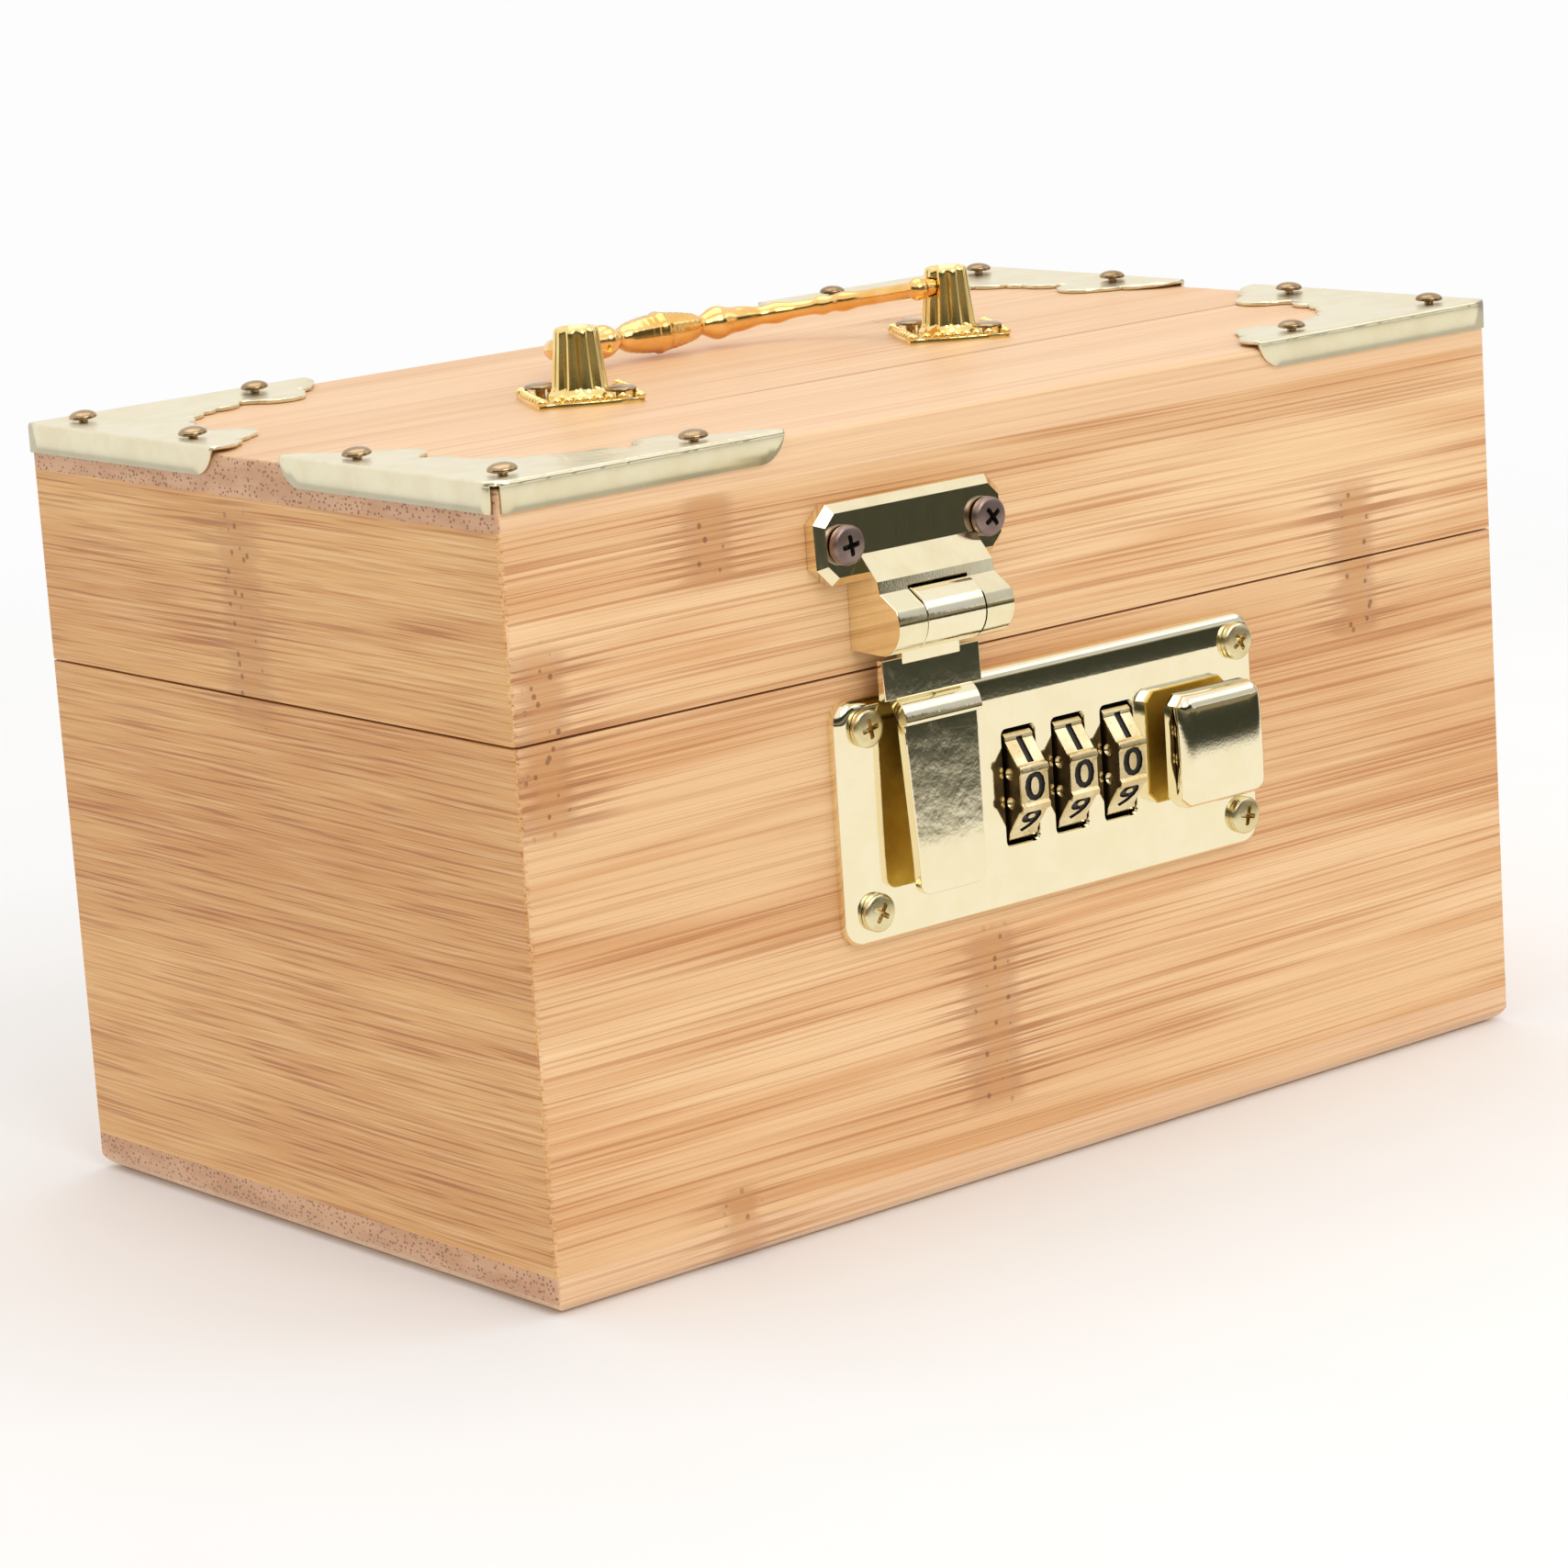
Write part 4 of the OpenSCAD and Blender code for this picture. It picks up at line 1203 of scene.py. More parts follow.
class CrossScrew:
    """A round-headed screw with a cross slot, pointing along -Z with its seat at 0."""

    def __init__(self, radius: float, height: float, shank: float, length: float) -> None:
        """Keeps the screw's sizes.

        Args:
            radius: Radius of the head.
            height: Height of the head.
            shank: Radius of the shank.
            length: Length of the shank.
        """
        self.radius = radius
        self.height = height
        self.shank = shank
        self.length = length

    def mesh(self, metal: bpy.types.Material, dark: bpy.types.Material) -> bpy.types.Mesh:
        """Turns the head, then cuts the tapered cross into it.

        Args:
            metal: Material of the screw.
            dark: Material of the slot's bottom and sides.

        Returns:
            The screw in millimetres.
        """
        r, h = self.radius, self.height
        work = Workpiece()
        crown = [(r - 0.28 * r * (1 - math.cos(a)), h * (0.55 + 0.34 * math.sin(a))) for a in _quarter(4)]
        profile = [(0.0, -self.length), (self.shank * 0.4, 1.2 - self.length)]
        profile += [(self.shank, 2.4 - self.length), (self.shank, 0.0), (r - 0.12, 0.0), (r, 0.14)]
        work.lathe(profile + crown + [(r * 0.4, h), (0.0, h)], 40)
        blank = work.mesh("screw_blank", metal)
        cross = Workpiece()
        for turn in (0, 90):
            wing = cross.slab(rounded_outline(r * 1.3, r * 0.3, r * 0.1, 3), h * 0.25, h * 1.5)
            for vert in wing:
                if vert.co.z < h * 0.5:
                    vert.co.x *= 0.62
                    vert.co.y *= 0.7
            cross.move(wing, Matrix.Rotation(math.radians(turn), 4, "Z"))
        tool = cross.mesh("cross_tool", dark)
        return carved(blank, tool)


@dataclass
class CombinationLock:
    """Plate, screws, number wheels and release knob on the front of the box."""

    finishes: Finishes
    bevel: float = 1.5
    border: float = 2.3
    pillow: float = 0.1
    corner_r: float = 3.0
    window_h: float = 14.9
    window_play: float = 0.7
    knob_head_t: float = 4.2
    knob_cut: float = 1.5
    wheel_r: float = 8.45
    facets: int = 10
    digit_h: float = 3.9

    def build(self) -> None:
        """Makes the lock's visible pieces and dresses the works behind them."""
        self._plate()
        self._screws()
        self._wheels()
        self._knob()
        for node in ("lock_case", "lock_case_cover", "case_cover_screws", "dial_axle"):
            dress(node, self.finishes.zinc)
        for node in ("detent_springs", "latch_bar"):
            dress(node, self.finishes.zinc)
        for i in (1, 2, 3):
            dress(f"dial_cam_{i}", self.finishes.rich)

    def _plate(self) -> None:
        """Plate with rounded edges, a faint slope all round, and its windows."""
        room = Block.of("lock_plate")
        thick = room.size.y
        work = Workpiece()
        edge = thick - self.pillow
        steps = [(0.0, 0.0, self.corner_r)]
        for angle in _quarter(6):
            inset = self.bevel * (1 - math.cos(angle))
            steps.append((inset, edge - self.bevel * (1 - math.sin(angle)), self.corner_r - inset))
        slope = self.bevel + self.border
        steps += [(slope, thick, 0.8), (slope + 0.3, thick, 0.6)]
        rings = []
        for inset, height, radius in steps:
            shape = rounded_outline(room.size.x - 2 * inset, room.size.z - 2 * inset, radius, 8)
            rings.append([(p[0], p[1], height) for p in shape])
        work.loft(rings)
        wheels = [Block.of(f"dial_wheel_{i}") for i in (1, 2, 3)]
        windows = [
            (wheel.mid.x - room.mid.x, 0.0, wheel.size.x + self.window_play, self.window_h, thick, 2.0)
            for wheel in wheels
        ]
        slide = Block.of("release_knob").mid.x - 1.05 - room.mid.x
        windows.append((slide, 0.0, 6.9, 5.2, thick))
        slot_x = Block.of("hasp_staple").mid.x - room.mid.x
        slot_low, slot_h = 54.5, 20.0
        windows.append((slot_x, slot_low + slot_h / 2 - room.mid.z, 2.6, slot_h, thick))
        tool = Workpiece()
        for window in windows:
            self._window(tool, *window)
            everything = work.bm.verts[:] + work.bm.edges[:] + work.bm.faces[:]
            bmesh.ops.bisect_plane(
                work.bm, geom=everything, plane_co=(window[0], 0, 0), plane_no=(1, 0, 0)
            )
        blank = work.mesh("plate_blank", self.finishes.mirror)
        tool_mesh = tool.mesh("plate_tool", self.finishes.mirror)
        mesh = carved(blank, tool_mesh)
        mesh.transform(upright_front(room.mid.x, room.high.y, room.mid.z))
        place_piece(mesh, "lock_plate_face", "base", ["lock_plate"])

    @staticmethod
    def _window(
        tool: Workpiece, x: float, y: float, w: float, h: float, thick: float, rebate: float = 0.0
    ) -> None:
        """Adds the cutter of one round-cornered window, flared at the front.

        Args:
            tool: The work that gathers the cutters.
            x: Middle of the window along the plate.
            y: Middle of the window up the plate.
            w: Its width.
            h: Its height.
            thick: Thickness of the plate.
            rebate: How much taller the window is behind the plate's front skin.
        """
        lip = 0.35
        wide = 0.3 if rebate else 0.0
        steps = [(wide, h + rebate, -1.0)]
        if rebate:
            steps.append((0.0, h, thick - 0.6))
        steps += [(0.0, h, thick - lip), (2 * lip, h + 2 * lip, thick + 0.3)]
        rings = []
        for more, height, level in steps:
            outline = rounded_outline(w + more, height, min(0.8, w * 0.3), 4)
            rings.append([(x + p[0], y + p[1], level) for p in outline])
        tool.loft(rings)

    def _screws(self) -> None:
        """Four pale gold cross-head screws, each turned its own way."""
        seat = Block.of("lock_plate").low.y
        room = Block.of("lock_plate_screws")
        reach_x, reach_z = room.size.x / 2 - 2.45, room.size.z / 2 - 2.45
        screw = CrossScrew(2.45, 1.2, 1.1, 7.9).mesh(self.finishes.screw, self.finishes.wheel)
        turns = iter((12, 58, 31, 77))
        spots = []
        for sx in (-1, 1):
            for sz in (1, -1):
                at = upright_front(room.mid.x + sx * reach_x, seat, room.mid.z + sz * reach_z)
                spots.append((screw, at @ Matrix.Rotation(math.radians(next(turns)), 4, "Z")))
        mesh = joined(spots, "lock_plate_screw_heads")
        place_piece(mesh, mesh.name, "base", ["lock_plate_screws"])

    def _wheels(self) -> None:
        """Three alike number wheels, with digits that rise from bottom to top."""
        wheel = self._wheel_mesh(Block.of("dial_wheel_1").size.x)
        for i in (1, 2, 3):
            spot = Matrix.Translation(pivot_of(f"wheel_{i}_turn"))
            mesh = joined([(wheel, spot)], f"number_wheel_{i}")
            nodes = [f"dial_wheel_{i}"]
            place_piece(mesh, mesh.name, f"wheel_{i}", nodes, None, 28.0)

    def _wheel_mesh(self, width: float) -> bpy.types.Mesh:
        """Makes one wheel about the X axis at the origin, with its digits engraved.

        Args:
            width: Its size along X.

        Returns:
            The wheel in millimetres.
        """
        outline = []
        flat = self._facet_reach()
        for i in range(self.facets):
            middle = 2 * math.pi * i / self.facets
            for share in (-0.7, 0.7):
                angle = middle + share * math.pi / self.facets
                r = flat / math.cos(angle - middle)
                outline.append((r * math.cos(angle), r * math.sin(angle)))
            for share, r in ((0.76, -0.12), (0.84, 0.12), (1.0, 0.2), (1.16, 0.12), (1.24, -0.12)):
                angle = middle + share * math.pi / self.facets
                reach = self.wheel_r - 0.2 + r
                outline.append((reach * math.cos(angle), reach * math.sin(angle)))
        work = Workpiece()
        work.slab(outline, -width / 2, width / 2)
        work.soften(lambda e: abs(e.verts[0].co.z - e.verts[1].co.z) < 0.01, 0.22, 2)
        blank = work.mesh("wheel_blank", self.finishes.wheel)
        bore = Workpiece()
        bore.lathe([(0.0, -width), (1.9, -width), (1.9, width), (0.0, width)], 24)
        for side in (-1, 1):
            for i in range(self.facets):
                angle = 2 * math.pi * (i + 0.5) / self.facets
                ball = bmesh.ops.create_uvsphere(
                    bore.bm, u_segments=12, v_segments=8, radius=0.85
                )["verts"]
                spot = (6.1 * math.cos(angle), 6.1 * math.sin(angle), side * (width / 2 + 0.3))
                bore.move(ball, Matrix.Translation(spot))
        drill = bore.mesh("wheel_drill", self.finishes.wheel)
        turned = carved(blank, drill)
        axis_to_x = Matrix.Rotation(math.radians(90), 4, "Y")
        turned.transform(Matrix.Rotation(math.pi / self.facets, 4, "X") @ axis_to_x)
        wheel = carved(turned, self._digits())
        wheel.materials.append(self.finishes.wheel_side)
        for face in wheel.polygons:
            if abs(face.normal.x) > 0.8 and abs(face.center.x) > width / 2 - 0.02:
                face.material_index = len(wheel.materials) - 1
        return wheel

    def _facet_reach(self) -> float:
        """Distance of a digit's facet from the wheel's axis."""
        return self.wheel_r * math.cos(math.pi / self.facets) - 0.25

    def _digits(self) -> bpy.types.Mesh:
        """Solid digits that stand through the facets of a wheel about the X axis."""
        flat = self._facet_reach()
        parts = []
        for digit in range(self.facets):
            text = bpy.data.curves.new("digit", "FONT")
            text.body = str(digit)
            text.size = self.digit_h * 1.38
            text.align_x = "CENTER"
            text.align_y = "CENTER"
            text.extrude = 0.45
            text.offset = 0.035 * self.digit_h
            text.resolution_u = 3
            holder = bpy.data.objects.new("digit", text)
            bpy.context.scene.collection.objects.link(holder)
            graph = bpy.context.evaluated_depsgraph_get()
            mesh = bpy.data.meshes.new_from_object(holder.evaluated_get(graph))
            bpy.data.objects.remove(holder)
            mesh.materials.clear()
            mesh.materials.append(self.finishes.ink)
            out = Matrix.Translation((0, -(flat + 0.2), 0)) @ Matrix.Rotation(math.radians(90), 4, "X")
            wide = Matrix.Diagonal((1.3, 0.94, 1.0, 1.0))
            turn = Matrix.Rotation(math.radians(-360 / self.facets * digit), 4, "X")
            parts.append((mesh, turn @ out @ wide))
        return joined(parts, "digits")

    def _knob(self) -> None:
        """Square knob with clipped corners and a cushioned front, on a short neck."""
        room = Block.of("release_knob")
        head, thick, cut = room.size.x, self.knob_head_t, self.knob_cut
        work = Workpiece()
        rings = []
        for inset, height in ((0.25, 0.0), (0.0, 0.25), (0.0, 1.2), (0.0, 2.0)):
            outline = clipped_outline(head - 2 * inset, head - 2 * inset, cut - inset * 0.6)
            rings.append([(p[0], p[1], height) for p in self._refined(outline)])
        for inset in (0.08, 0.25, 0.5, 0.8, 1.2, 1.7, 2.4, 3.2, 4.1, 5.0, 5.9, 6.6, 7.1):
            side = head - 2 * inset
            outline = self._refined(clipped_outline(side, side, max(0.1, cut - inset * 0.25)))
            rings.append([(p[0], p[1], self._crown(p, head, thick)) for p in outline])
        work.loft(rings)
        work.slab(rounded_outline(4.0, 4.6, 0.4, 3), -4.6, 0.05)
        mesh = work.mesh("release_knob_cap")
        seat = room.low.y + thick
        mesh.transform(upright_front(room.mid.x, seat, room.mid.z))
        mesh.materials.append(self.finishes.mirror)
        mesh.materials.append(self.finishes.satin)
        # Faces on the knob's back and neck, in the gap over the plate, take the deeper gold: painted
        # shade and painted reflection in the gap.
        for face in mesh.polygons:
            face.material_index = 1 if face.center.y > seat - 0.3 else 0
        place_piece(mesh, mesh.name, "knob", ["release_knob"], None, 50.0)

    @staticmethod
    def _refined(outline: Sequence[tuple], parts: int = 6) -> list[tuple]:
        """Divides each side of an outline into equal parts."""
        points = []
        for start, end in zip(outline, outline[1:] + outline[:1]):
            for k in range(parts):
                points.append(tuple(Vector(start).lerp(Vector(end), k / parts)))
        return points

    @staticmethod
    def _crown(point: tuple, head: float, thick: float) -> float:
        """Finds the height of the knob's cushioned front.

        Args:
            point: A place on the front.
            head: Side of the square head.
            thick: Thickness of the head.

        Returns:
            The height over the head's back.
        """
        x, y = point[0], point[1]
        height = thick - 2.0
        round_off = 1.0
        over = (abs(x) + abs(y) - (head - 1.5 - 0.9)) * 0.7
        for depth in (head / 2 - abs(x), head / 2 - abs(y), 0.9 * 0.7 - over + 0.6):
            reach = min(1.0, max(0.0, depth) / 1.7)
            round_off *= math.sqrt(1.0 - (1.0 - reach) ** 2)
        bow = 0.32 * (2 * y / head) ** 2 + 0.1 * (2 * x / head) ** 2 + 0.036 * (y + head / 2)
        return 2.0 + (height - bow) * round_off


@dataclass
class Hasp:
    """Mount on the lid, flap in front of the lock, and the tongue behind it."""

    finishes: Finishes
    bar_w: float = 30.5
    bar_h: float = 10.0
    bar_t: float = 3.0
    lean: float = 0.044
    plate_t: float = 1.3
    plate_back: float = -55.7
    block_back: float = -53.9
    clevis_w: float = 19.0
    knuckle_w: float = 9.5
    knuckle_r: float = 4.0

    def build(self) -> None:
        """Makes the mount, its screws and the flap."""
        self.pivot = pivot_of("hasp_swing")
        self._mount()
        self._screws()
        self._flap()
        dress("hasp_staple", self.finishes.zinc)
        dress("hasp_pin", self.finishes.zinc)

    def _side_profile(self, points: Iterable[tuple], work: Workpiece, x0: float, x1: float) -> list:
        """Extrudes a side profile along X.

        Args:
            points: The profile's (Y, Z) points.
            work: The work to add it to.
            x0: Where it starts.
            x1: Where it ends.

        Returns:
            The vertices of the new solid.
        """
        verts = work.slab(points, x0, x1)
        turn = Matrix(((0, 0, 1, 0), (1, 0, 0, 0), (0, 1, 0, 0), (0, 0, 0, 1)))
        work.move(verts, turn)
        return verts

    def _mount(self) -> None:
        """Chamfered bar, sloping neck and two knuckles."""
        lid = Block.of("lid_front")
        room = Block.of("hasp_mount")
        wall, py, pz = lid.low.y, self.pivot.y, self.pivot.z
        px = Block.of("hasp_flap").mid.x
        bar_z = room.high.z - self.bar_h / 2
        work = Workpiece()
        work.slab(clipped_outline(self.bar_w, self.bar_h, 2.2), 0.0, self.bar_t)
        top = self.bar_t - 0.01
        work.soften(lambda e: all(v.co.z > top for v in e.verts), 1.05, 1)
        for vert in work.bm.verts:
            if vert.co.z > 1.0:
                vert.co.z -= self.lean * (vert.co.y + self.bar_h / 2)
        work.move(work.bm.verts, upright_front(px - 0.4, wall, bar_z))
        r = self.knuckle_r
        round_part = [
            (py - r * math.sin(math.radians(a)), pz - r * math.cos(math.radians(a)))
            for a in range(0, 145, 12)
        ]
        profile = [(wall, pz - r + 0.25)] + round_part
        profile = profile[:-2] + [(py - 0.6, pz + r - 0.2), (py - 0.3, pz + r + 1.3)]
        profile += [(wall - self.bar_t + 0.1, bar_z - 1.6), (wall, bar_z - 1.6)]
        self._side_profile(profile, work, px - self.clevis_w / 2, px + self.clevis_w / 2)
        work.soften(lambda e: sharp(e, 50) and e.calc_length() < 40, 0.18, 2)
        blank = work.mesh("mount_blank", self.finishes.brushed)
        tool = Workpiece()
        reach = r + 0.35
        gap = [
            (py - reach * math.cos(math.radians(a)), pz + reach * math.sin(math.radians(a)))
            for a in range(0, 181, 12)
        ]
        gap += [(wall - 0.9, pz - 8.0), (py - 8.0, pz - 8.0), (py - 8.0, pz)]
        half = self.knuckle_w / 2 + 0.15
        self._side_profile(gap, tool, px - half, px + half)
        tool_mesh = tool.mesh("mount_tool", self.finishes.brushed)
        mesh = carved(blank, tool_mesh)
        place_piece(mesh, "hasp_mount_cast", "lid", ["hasp_mount"], None, 28.0)

    def _screws(self) -> None:
        """Two dark bronze cross-head screws, with a bright ring where they seat."""
        room = Block.of("hasp_mount_screws")
        seat = Block.of("lid_front").low.y - self.bar_t
        reach = room.size.x / 2 - 2.5
        screw = CrossScrew(2.5, 1.4, 1.2, 8.4).mesh(self.finishes.bronze, self.finishes.ink)
        spots = []
        for side, turn in ((-1, 8), (1, 35)):
            at = upright_front(room.mid.x + side * reach, seat, room.mid.z)
            spots.append((screw, at @ Matrix.Rotation(math.radians(turn), 4, "Z")))
        mesh = joined(spots, "hasp_screw_heads")
        place_piece(mesh, mesh.name, "lid", ["hasp_mount_screws"])

    def _flap(self) -> None:
        """Knuckle, short web, wide block, scooped step and the long cover plate."""
        room = Block.of("hasp_flap")
        x, y, z = room.mid.x, self.pivot.y, self.pivot.z
        low = room.low.z
        back, thick = self.plate_back, self.plate_t
        front, block_back = back - thick, self.block_back
        block = block_back - thick
        r = self.knuckle_r
        work = Workpiece()
        ring = [
            (y + r * math.cos(2 * math.pi * i / 40), z + r * math.sin(2 * math.pi * i / 40))
            for i in range(40)
        ]
        half = self.knuckle_w / 2
        self._side_profile(ring, work, x - half, x + half)
        web = [
            (y + 0.5, z - 1.0), (y + 3.0, z - 1.0), (block_back, z - 4.4), (block_back, 70.6),
            (block + 0.1, 70.6), (block + 0.1, z - 3.4),
        ]
        self._side_profile(web, work, x - half, x + half)
        self._side_profile(
            [(block, 66.4), (block_back, 66.4), (block_back, 71.5), (block + 0.24, 71.5)],
            work, x - 8.0, x + 8.0,
        )
        scoop = arc((front, 63.3), (block + 0.02, 66.6), 0.55, 8)
        step = [(block_back, 66.6), (block_back, 65.9), (back, 63.0), (front, 63.3)] + scoop
        self._side_profile(step, work, x - 6.3, x + 6.3)
        work.soften(lambda e: sharp(e, 50), 0.14, 2)
        shape = [(6.1, 63.4), (-6.1, 63.4), (-5.4, low + 1.5)]
        shape += arc((-5.4, low + 1.5), (-3.9, low), -0.45, 5) + [(3.9, low)]
        shape += arc((3.9, low), (5.4, low + 1.5), -0.45, 5)
        plate = Workpiece()
        plate.slab(reversed(shape), 0.0, thick)
        plate.soften(lambda e: all(v.co.z > thick - 0.01 for v in e.verts), 0.28, 3)
        for step in range(1, 13):
            bmesh.ops.bisect_plane(
                plate.bm,
                geom=plate.bm.verts[:] + plate.bm.edges[:] + plate.bm.faces[:],
                plane_co=(0, low + step * 1.6, 0),
                plane_no=(0, 1, 0),
            )
        for vert in plate.bm.verts:
            up = max(0.0, vert.co.y - low - 3.0)
            vert.co.z -= 0.046 * (up - 2.0 if up > 4.0 else up * up / 8.0)
        plate.move(plate.bm.verts, upright_front(x, back, 0.0))
        mesh = joined(
            [(work.mesh("flap_upper"), Matrix()), (plate.mesh("flap_lower"), Matrix())], "hasp_flap_cast"
        )
        mesh.materials.append(self.finishes.wavy)
        mesh.materials.append(self.finishes.satin)
        # Faces turned to the box take the deeper gold: painted shade and painted gold-on-gold reflection
        # behind the flap.
        for face in mesh.polygons:
            face.material_index = 1 if face.normal.y > 0.5 else 0
        place_piece(mesh, mesh.name, "hasp", ["hasp_flap"], None, 50.0)


@dataclass
class CarryingHandle:
    """Two fluted posts on ornamental feet, their tacks and the folded bail."""

    finishes: Finishes
    flutes: int = 10
    post_low: float = 3.9
    post_high: float = 2.85
    post_h: float = 9.6
    foot_t: float = 1.5
    half_span: float = 32.0
    pin_at: float = 26.8
    ball_r: float = 1.55
    bead_r: float = 0.66
    tack_r: float = 2.1
    tack_out: float = 6.4
    droop: float = -9.0
    turns: tuple = (17.0, 13.0)

    def build(self) -> None:
        """Makes both posts, the tacks and the bail."""
        for side, turn in zip(("left", "right"), self.turns):
            node = "handle_post_" + side
            facing = 1 if side == "left" else -1
            deep = pivot_of("handle_swing").y
            seat = Vector((-facing * self.half_span, deep, Block.of("lid_top").high.z))
            mesh = self._post(turn, facing)
            mesh.transform(Matrix.Translation(seat))
            place_piece(mesh, node + "_cast", "lid", [node], None, 34.0)
        self._tacks()
        self._bail()

    def _foot_outline(self, grow: float) -> list[tuple]:
        """Long lozenge with bowed sides and a round lobe at each corner."""
        points = []
        steps = 96
        for i in range(steps):
            angle = 2 * math.pi * i / steps
            wide = 7.3 + 0.8 * abs(math.sin(angle)) ** 6 + 0.3 * abs(math.cos(angle)) ** 6
            bow = 0.25 * math.cos(4 * angle)
            lobe = 0.0
            for k, size in ((0, 1.3), (1, 1.7), (2, 1.3), (3, 1.7)):
                off = (angle - k * math.pi / 2 + math.pi) % (2 * math.pi) - math.pi
                lobe = max(lobe, size * math.exp(-((off / 0.16) ** 2)))
            reach = wide + bow + lobe + grow
            points.append((reach * math.cos(angle), reach * math.sin(angle)))
        return points

    def _post(self, turn: float, facing: int) -> bpy.types.Mesh:
        """Makes one foot and post at the origin.

        Args:
            turn: How far the foot is turned, in degrees.
            facing: 1 where the pivot hole looks to +X, -1 where it looks to -X.

        Returns:
            The foot and post in millimetres.
        """
        work = Workpiece()
        work.slab(self._foot_outline(0.0), 0.0, 0.75)
        work.soften(lambda e: all(v.co.z > 0.7 for v in e.verts), 0.25, 2)
        rim = self._foot_outline(-0.6)
        for i in range(0, len(rim), 3):
            bead = bmesh.ops.create_icosphere(work.bm, subdivisions=2, radius=self.bead_r)["verts"]
            size = 1.25 if i % 24 == 0 else 1.0
            spot = Matrix.Translation((rim[i][0], rim[i][1], 0.9))
            work.move(bead, spot @ Matrix.Diagonal((size, size, 0.95, 1)))
        work.move(work.bm.verts, Matrix.Rotation(math.radians(turn), 4, "Z"))
        post = self._fluted_post()
        base = work.mesh("foot", self.finishes.rich)
        hole = Workpiece()
        drill = hole.lathe([(0.0, -6.0), (1.34, -6.0), (1.34, 6.0), (0.0, 6.0)], 28)
        across = Matrix.Rotation(math.radians(90), 4, "Y")
        hole.move(drill, Matrix.Translation((facing * 5.6, 0, 7.1)) @ across)
        tool = hole.mesh("pivot_drill", self.finishes.rich)
        return joined([(base, Matrix()), (carved(post, tool), Matrix())], "handle_post")

    def _fluted_post(self) -> bpy.types.Mesh:
        """Tapered column with rounded ridges, a small collar below and a cupped top."""
        work = Workpiece()
        steps = self.flutes * 8
        levels = (
            (0.5, 1.12, 0.0), (1.0, 1.14, 0.0), (1.45, 1.03, 0.2), (2.0, 1.0, 1.0), (5.0, 1.0, 1.0),
            (8.2, 1.0, 1.0), (8.9, 1.01, 0.85), (9.35, 0.98, 0.6), (9.58, 0.9, 0.4),
            (9.55, 0.76, 0.2), (9.2, 0.6, 0.0), (9.05, 0.3, 0.0),
        )
        rings = []
        for height, swell, flute in levels:
            taper = self.post_low + (self.post_high - self.post_low) * height / self.post_h
            made = bmesh.ops.create_circle(work.bm, segments=steps, radius=1.0)["verts"]
            for vert in made:
                angle = math.atan2(vert.co.y, vert.co.x)
                wave = abs(math.cos(self.flutes * angle / 2))
                reach = taper * swell - 0.52 * flute * (1 - wave) ** 1.2
                vert.co = Vector((reach * math.cos(angle), reach * math.sin(angle), height))
            rings.append(made)
        work.skin(rings)
        post = work.mesh("post", self.finishes.rich)
        return post

    def _tacks(self) -> None:
        """Four flat-domed tacks, two through each foot."""
        lid_z = Block.of("lid_top").high.z
        stand = self.foot_t
        r = self.tack_r
        profile = [(0.0, -3.8), (0.65, -3.6), (0.65, stand), (r - 0.2, stand), (r, stand + 0.1)]
        crown = [(r * math.cos(a), stand + 0.25 + 0.42 * math.sin(a)) for a in _quarter(5)]
        work = Workpiece()
        for side, turn in zip((-1, 1), self.turns):
            for end in (-1, 1):
                angle = math.radians(turn + 90)
                spot = Vector((side * self.half_span, 0, lid_z))
                spot += Vector((math.cos(angle), math.sin(angle), 0)) * self.tack_out * end
                verts = work.lathe(profile + crown, 28)
                work.move(verts, Matrix.Translation(spot))
        mesh = work.mesh("handle_tack_heads")
        place_piece(
            mesh, mesh.name, "lid", ["handle_foot_tacks"], self.finishes.tack, 50.0
        )

    @staticmethod
    def _bail_point(share: float) -> Vector:
        """Centre line of the bail in its own plane; share runs from 0 to 1 between the pivots."""
        half, reach, power = 26.8, 24.0, 3.0
        angle = math.pi * (1.8 + share * 176.4) / 180
        spread = (abs(math.cos(angle)) / half) ** power + (math.sin(angle) / reach) ** power
        length = spread ** (-1 / power)
        return Vector((-math.cos(angle), math.sin(angle), 0)) * length

    @staticmethod
    def _bail_radius(x: float) -> float:
        """Radius of the bail at a distance from its middle."""
        far = abs(x)

        def swell(size: float, at: float, wide: float) -> float:
            """One smooth swelling along the bail."""
            return size * math.exp(-(((far - at) / wide) ** 2))

        radius = 1.1 + swell(1.15, 9.9, 2.0) + swell(0.2, 6.8, 0.35) + swell(0.6, 13.6, 2.4)
        radius += swell(0.4, 18.6, 1.3) + swell(0.3, 23.4, 0.5) + swell(0.3, 25.0, 0.5)
        if far < 6.6:
            body = 2.55 - 0.95 * (far / 6.5) ** 2
            beads = 0.1 * abs(math.sin(far * 2.9))
            radius = max(radius * 0.9, body + beads) + swell(0.35, 0.0, 0.42)
        return radius

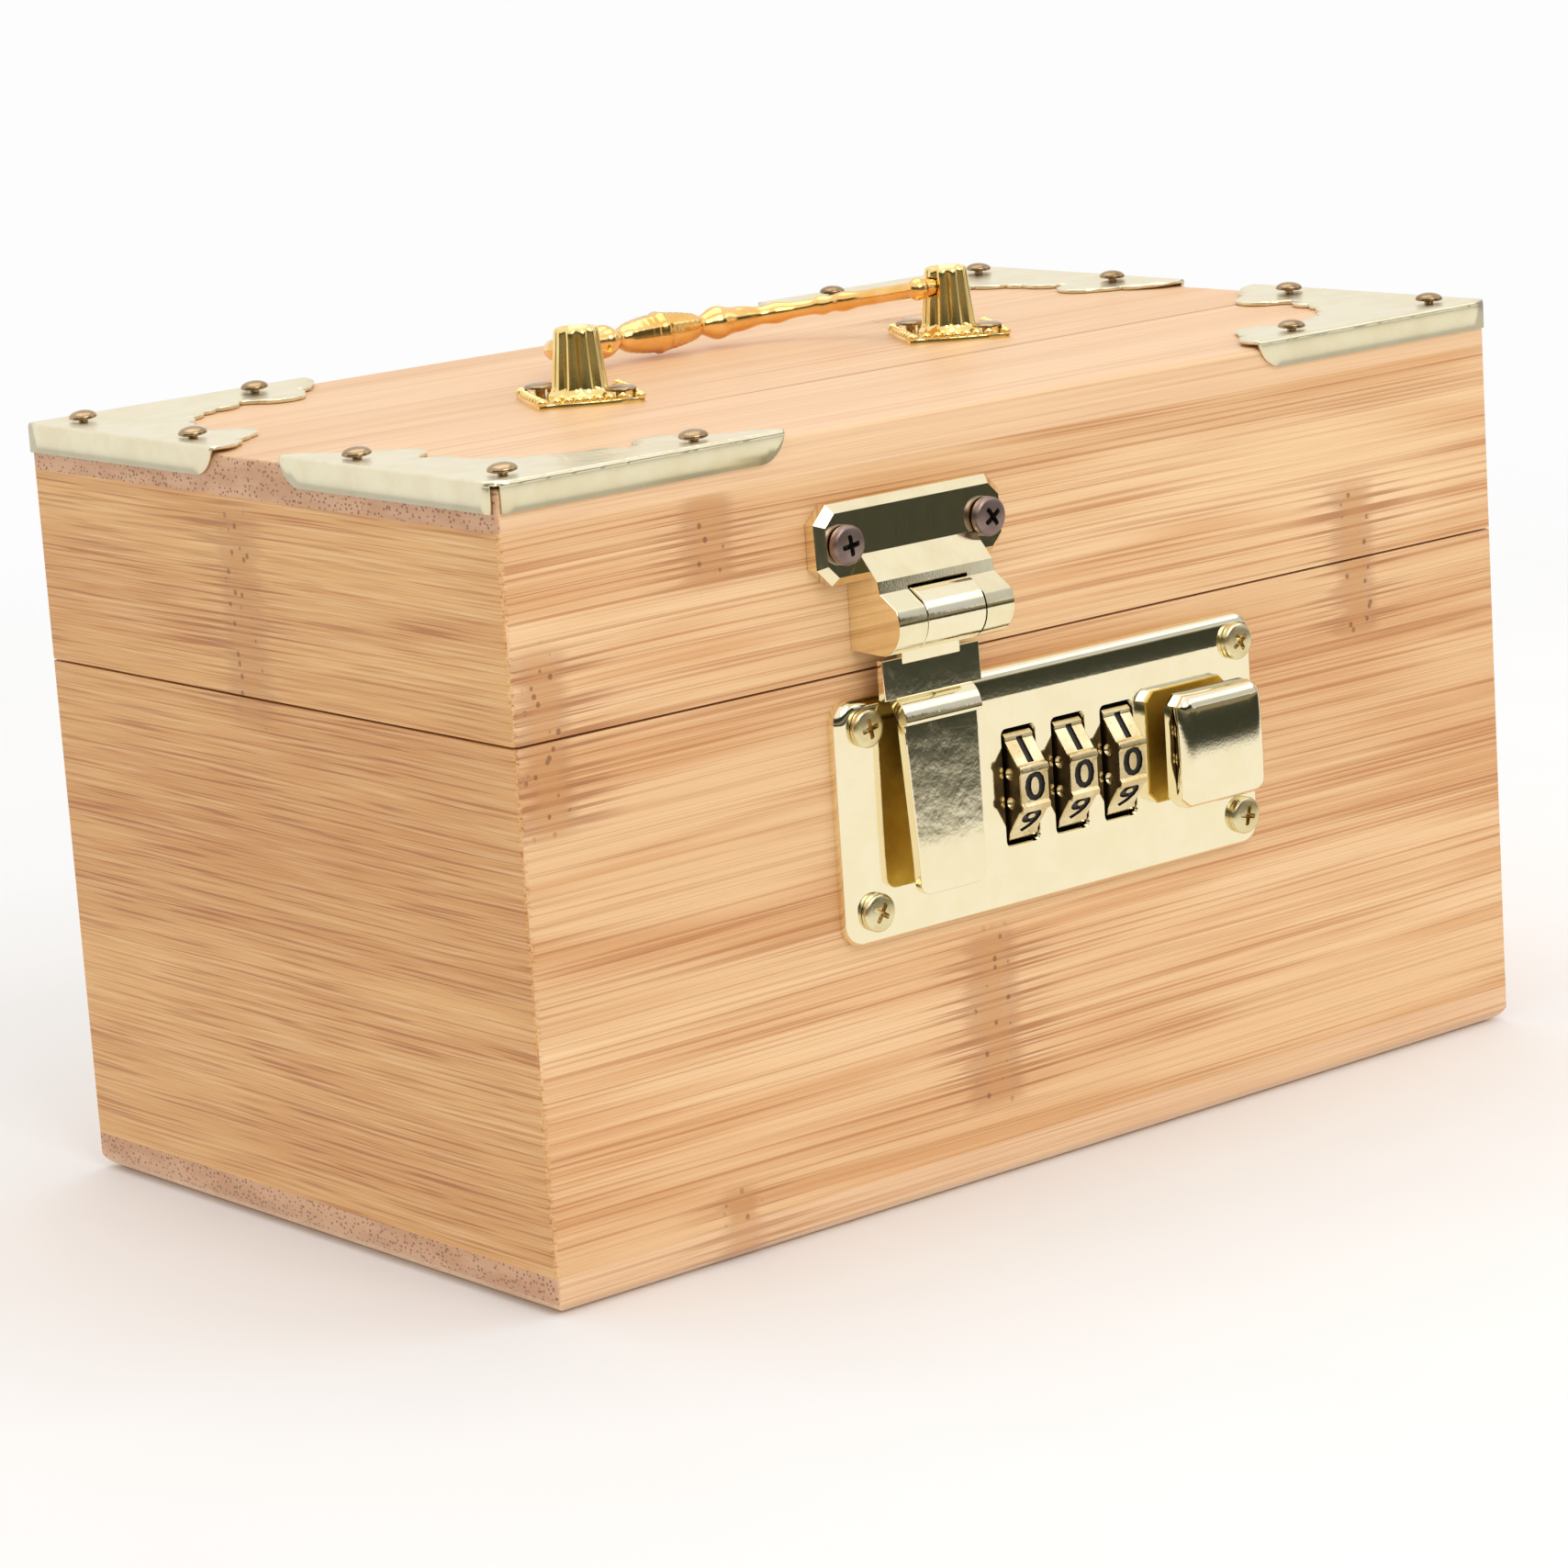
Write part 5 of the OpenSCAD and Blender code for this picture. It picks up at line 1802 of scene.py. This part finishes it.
    def _bail(self) -> None:
        """Sweeps the bail's rings along its arch and ends it in round pivots."""
        work = Workpiece()
        rings = []
        steps, sides = 200, 28
        for i in range(steps + 1):
            share = i / steps
            here = self._bail_point(share)
            ahead = self._bail_point(min(1.0, share + 0.002))
            way = (ahead - self._bail_point(max(0.0, share - 0.002))).normalized()
            turn = Matrix((way.cross(Z_AXIS), Z_AXIS, way)).transposed().to_4x4()
            made = bmesh.ops.create_circle(work.bm, segments=sides, radius=1.0)["verts"]
            radius = self._bail_radius(here.x)
            for k, vert in enumerate(made):
                knob = 0.09 * math.sin(k * 2 * math.pi / sides * 9) if abs(here.x) < 6.0 else 0.0
                vert.co *= radius + knob
            work.move(made, Matrix.Translation(here) @ turn)
            rings.append(made)
        work.skin(rings)
        for side in (-1, 1):
            ball = bmesh.ops.create_uvsphere(
                work.bm, u_segments=28, v_segments=18, radius=self.ball_r
            )["verts"]
            work.move(ball, Matrix.Translation((side * self.pin_at, 0, 0)))
            tip = [(0.0, 0.0), (1.2, 0.0), (1.2, 3.6), (0.9, 4.2), (0.0, 4.35)]
            pin = work.lathe(tip, 24)
            aim = Matrix.Rotation(math.radians(90 * side), 4, "Y")
            work.move(pin, Matrix.Translation((side * self.pin_at, 0, 0)) @ aim)
        droop = Matrix.Rotation(math.radians(self.droop), 4, "X")
        work.move(work.bm.verts, Matrix.Translation(pivot_of("handle_swing")) @ droop)
        mesh = work.mesh("handle_bail_cast")
        place_piece(
            mesh, mesh.name, "handle", ["handle_bail"], self.finishes.cast, 60.0
        )


@dataclass
class BackHinges:
    """The two butt hinges on the back."""

    finishes: Finishes

    def build(self) -> None:
        """Softens the leaves, and dresses their pins and screws."""
        for side in ("left", "right"):
            for half, body in (("base", "base"), ("lid", "lid")):
                node = f"hinge_{side}_{half}_leaf"
                work = cad_copy(node)
                work.soften(lambda e: sharp(e, 60) and e.calc_length() > 3.0, 0.12, 2)
                mesh = work.mesh(node + "_plate")
                place_piece(mesh, mesh.name, body, [node], self.finishes.rich)
            dress(f"hinge_{side}_pin", self.finishes.rich)
        for half, body in (("base", "base"), ("lid", "lid")):
            node = f"hinge_{half}_screws"
            room = Block.of(node)
            seat = Block.of(f"hinge_left_{half}_leaf").low.y + 1.0
            screw = CrossScrew(2.0, 0.9, 0.9, 6.4).mesh(self.finishes.rich, self.finishes.ink)
            spots = []
            for i, x in enumerate((-59.0, -41.0, 41.0, 59.0)):
                at = Matrix.Translation((x, seat, room.mid.z))
                at = at @ Matrix.Rotation(math.radians(-90), 4, "X")
                spots.append((screw, at @ Matrix.Rotation(math.radians(20 + 37 * i), 4, "Z")))
            mesh = joined(spots, node + "_heads")
            place_piece(mesh, mesh.name, body, [node])


def dress(node: str, material: bpy.types.Material) -> None:
    """Gives a CAD node that stays as it is its material."""
    slots = frame["nodes"][node].data.materials
    slots.clear()
    slots.append(material)
    LOG.info("%s dressed", node)


def main() -> None:
    """Builds the studio and every sub-assembly."""
    logging.basicConfig(level=logging.INFO, format="%(name)s %(message)s")
    Studio().build()
    finishes = Finishes()
    for assembly in (
        BambooBox(finishes),
        CornerBrackets(finishes),
        CombinationLock(finishes),
        Hasp(finishes),
        CarryingHandle(finishes),
        BackHinges(finishes),
    ):
        assembly.build()


if __name__ == "__main__":
    main()
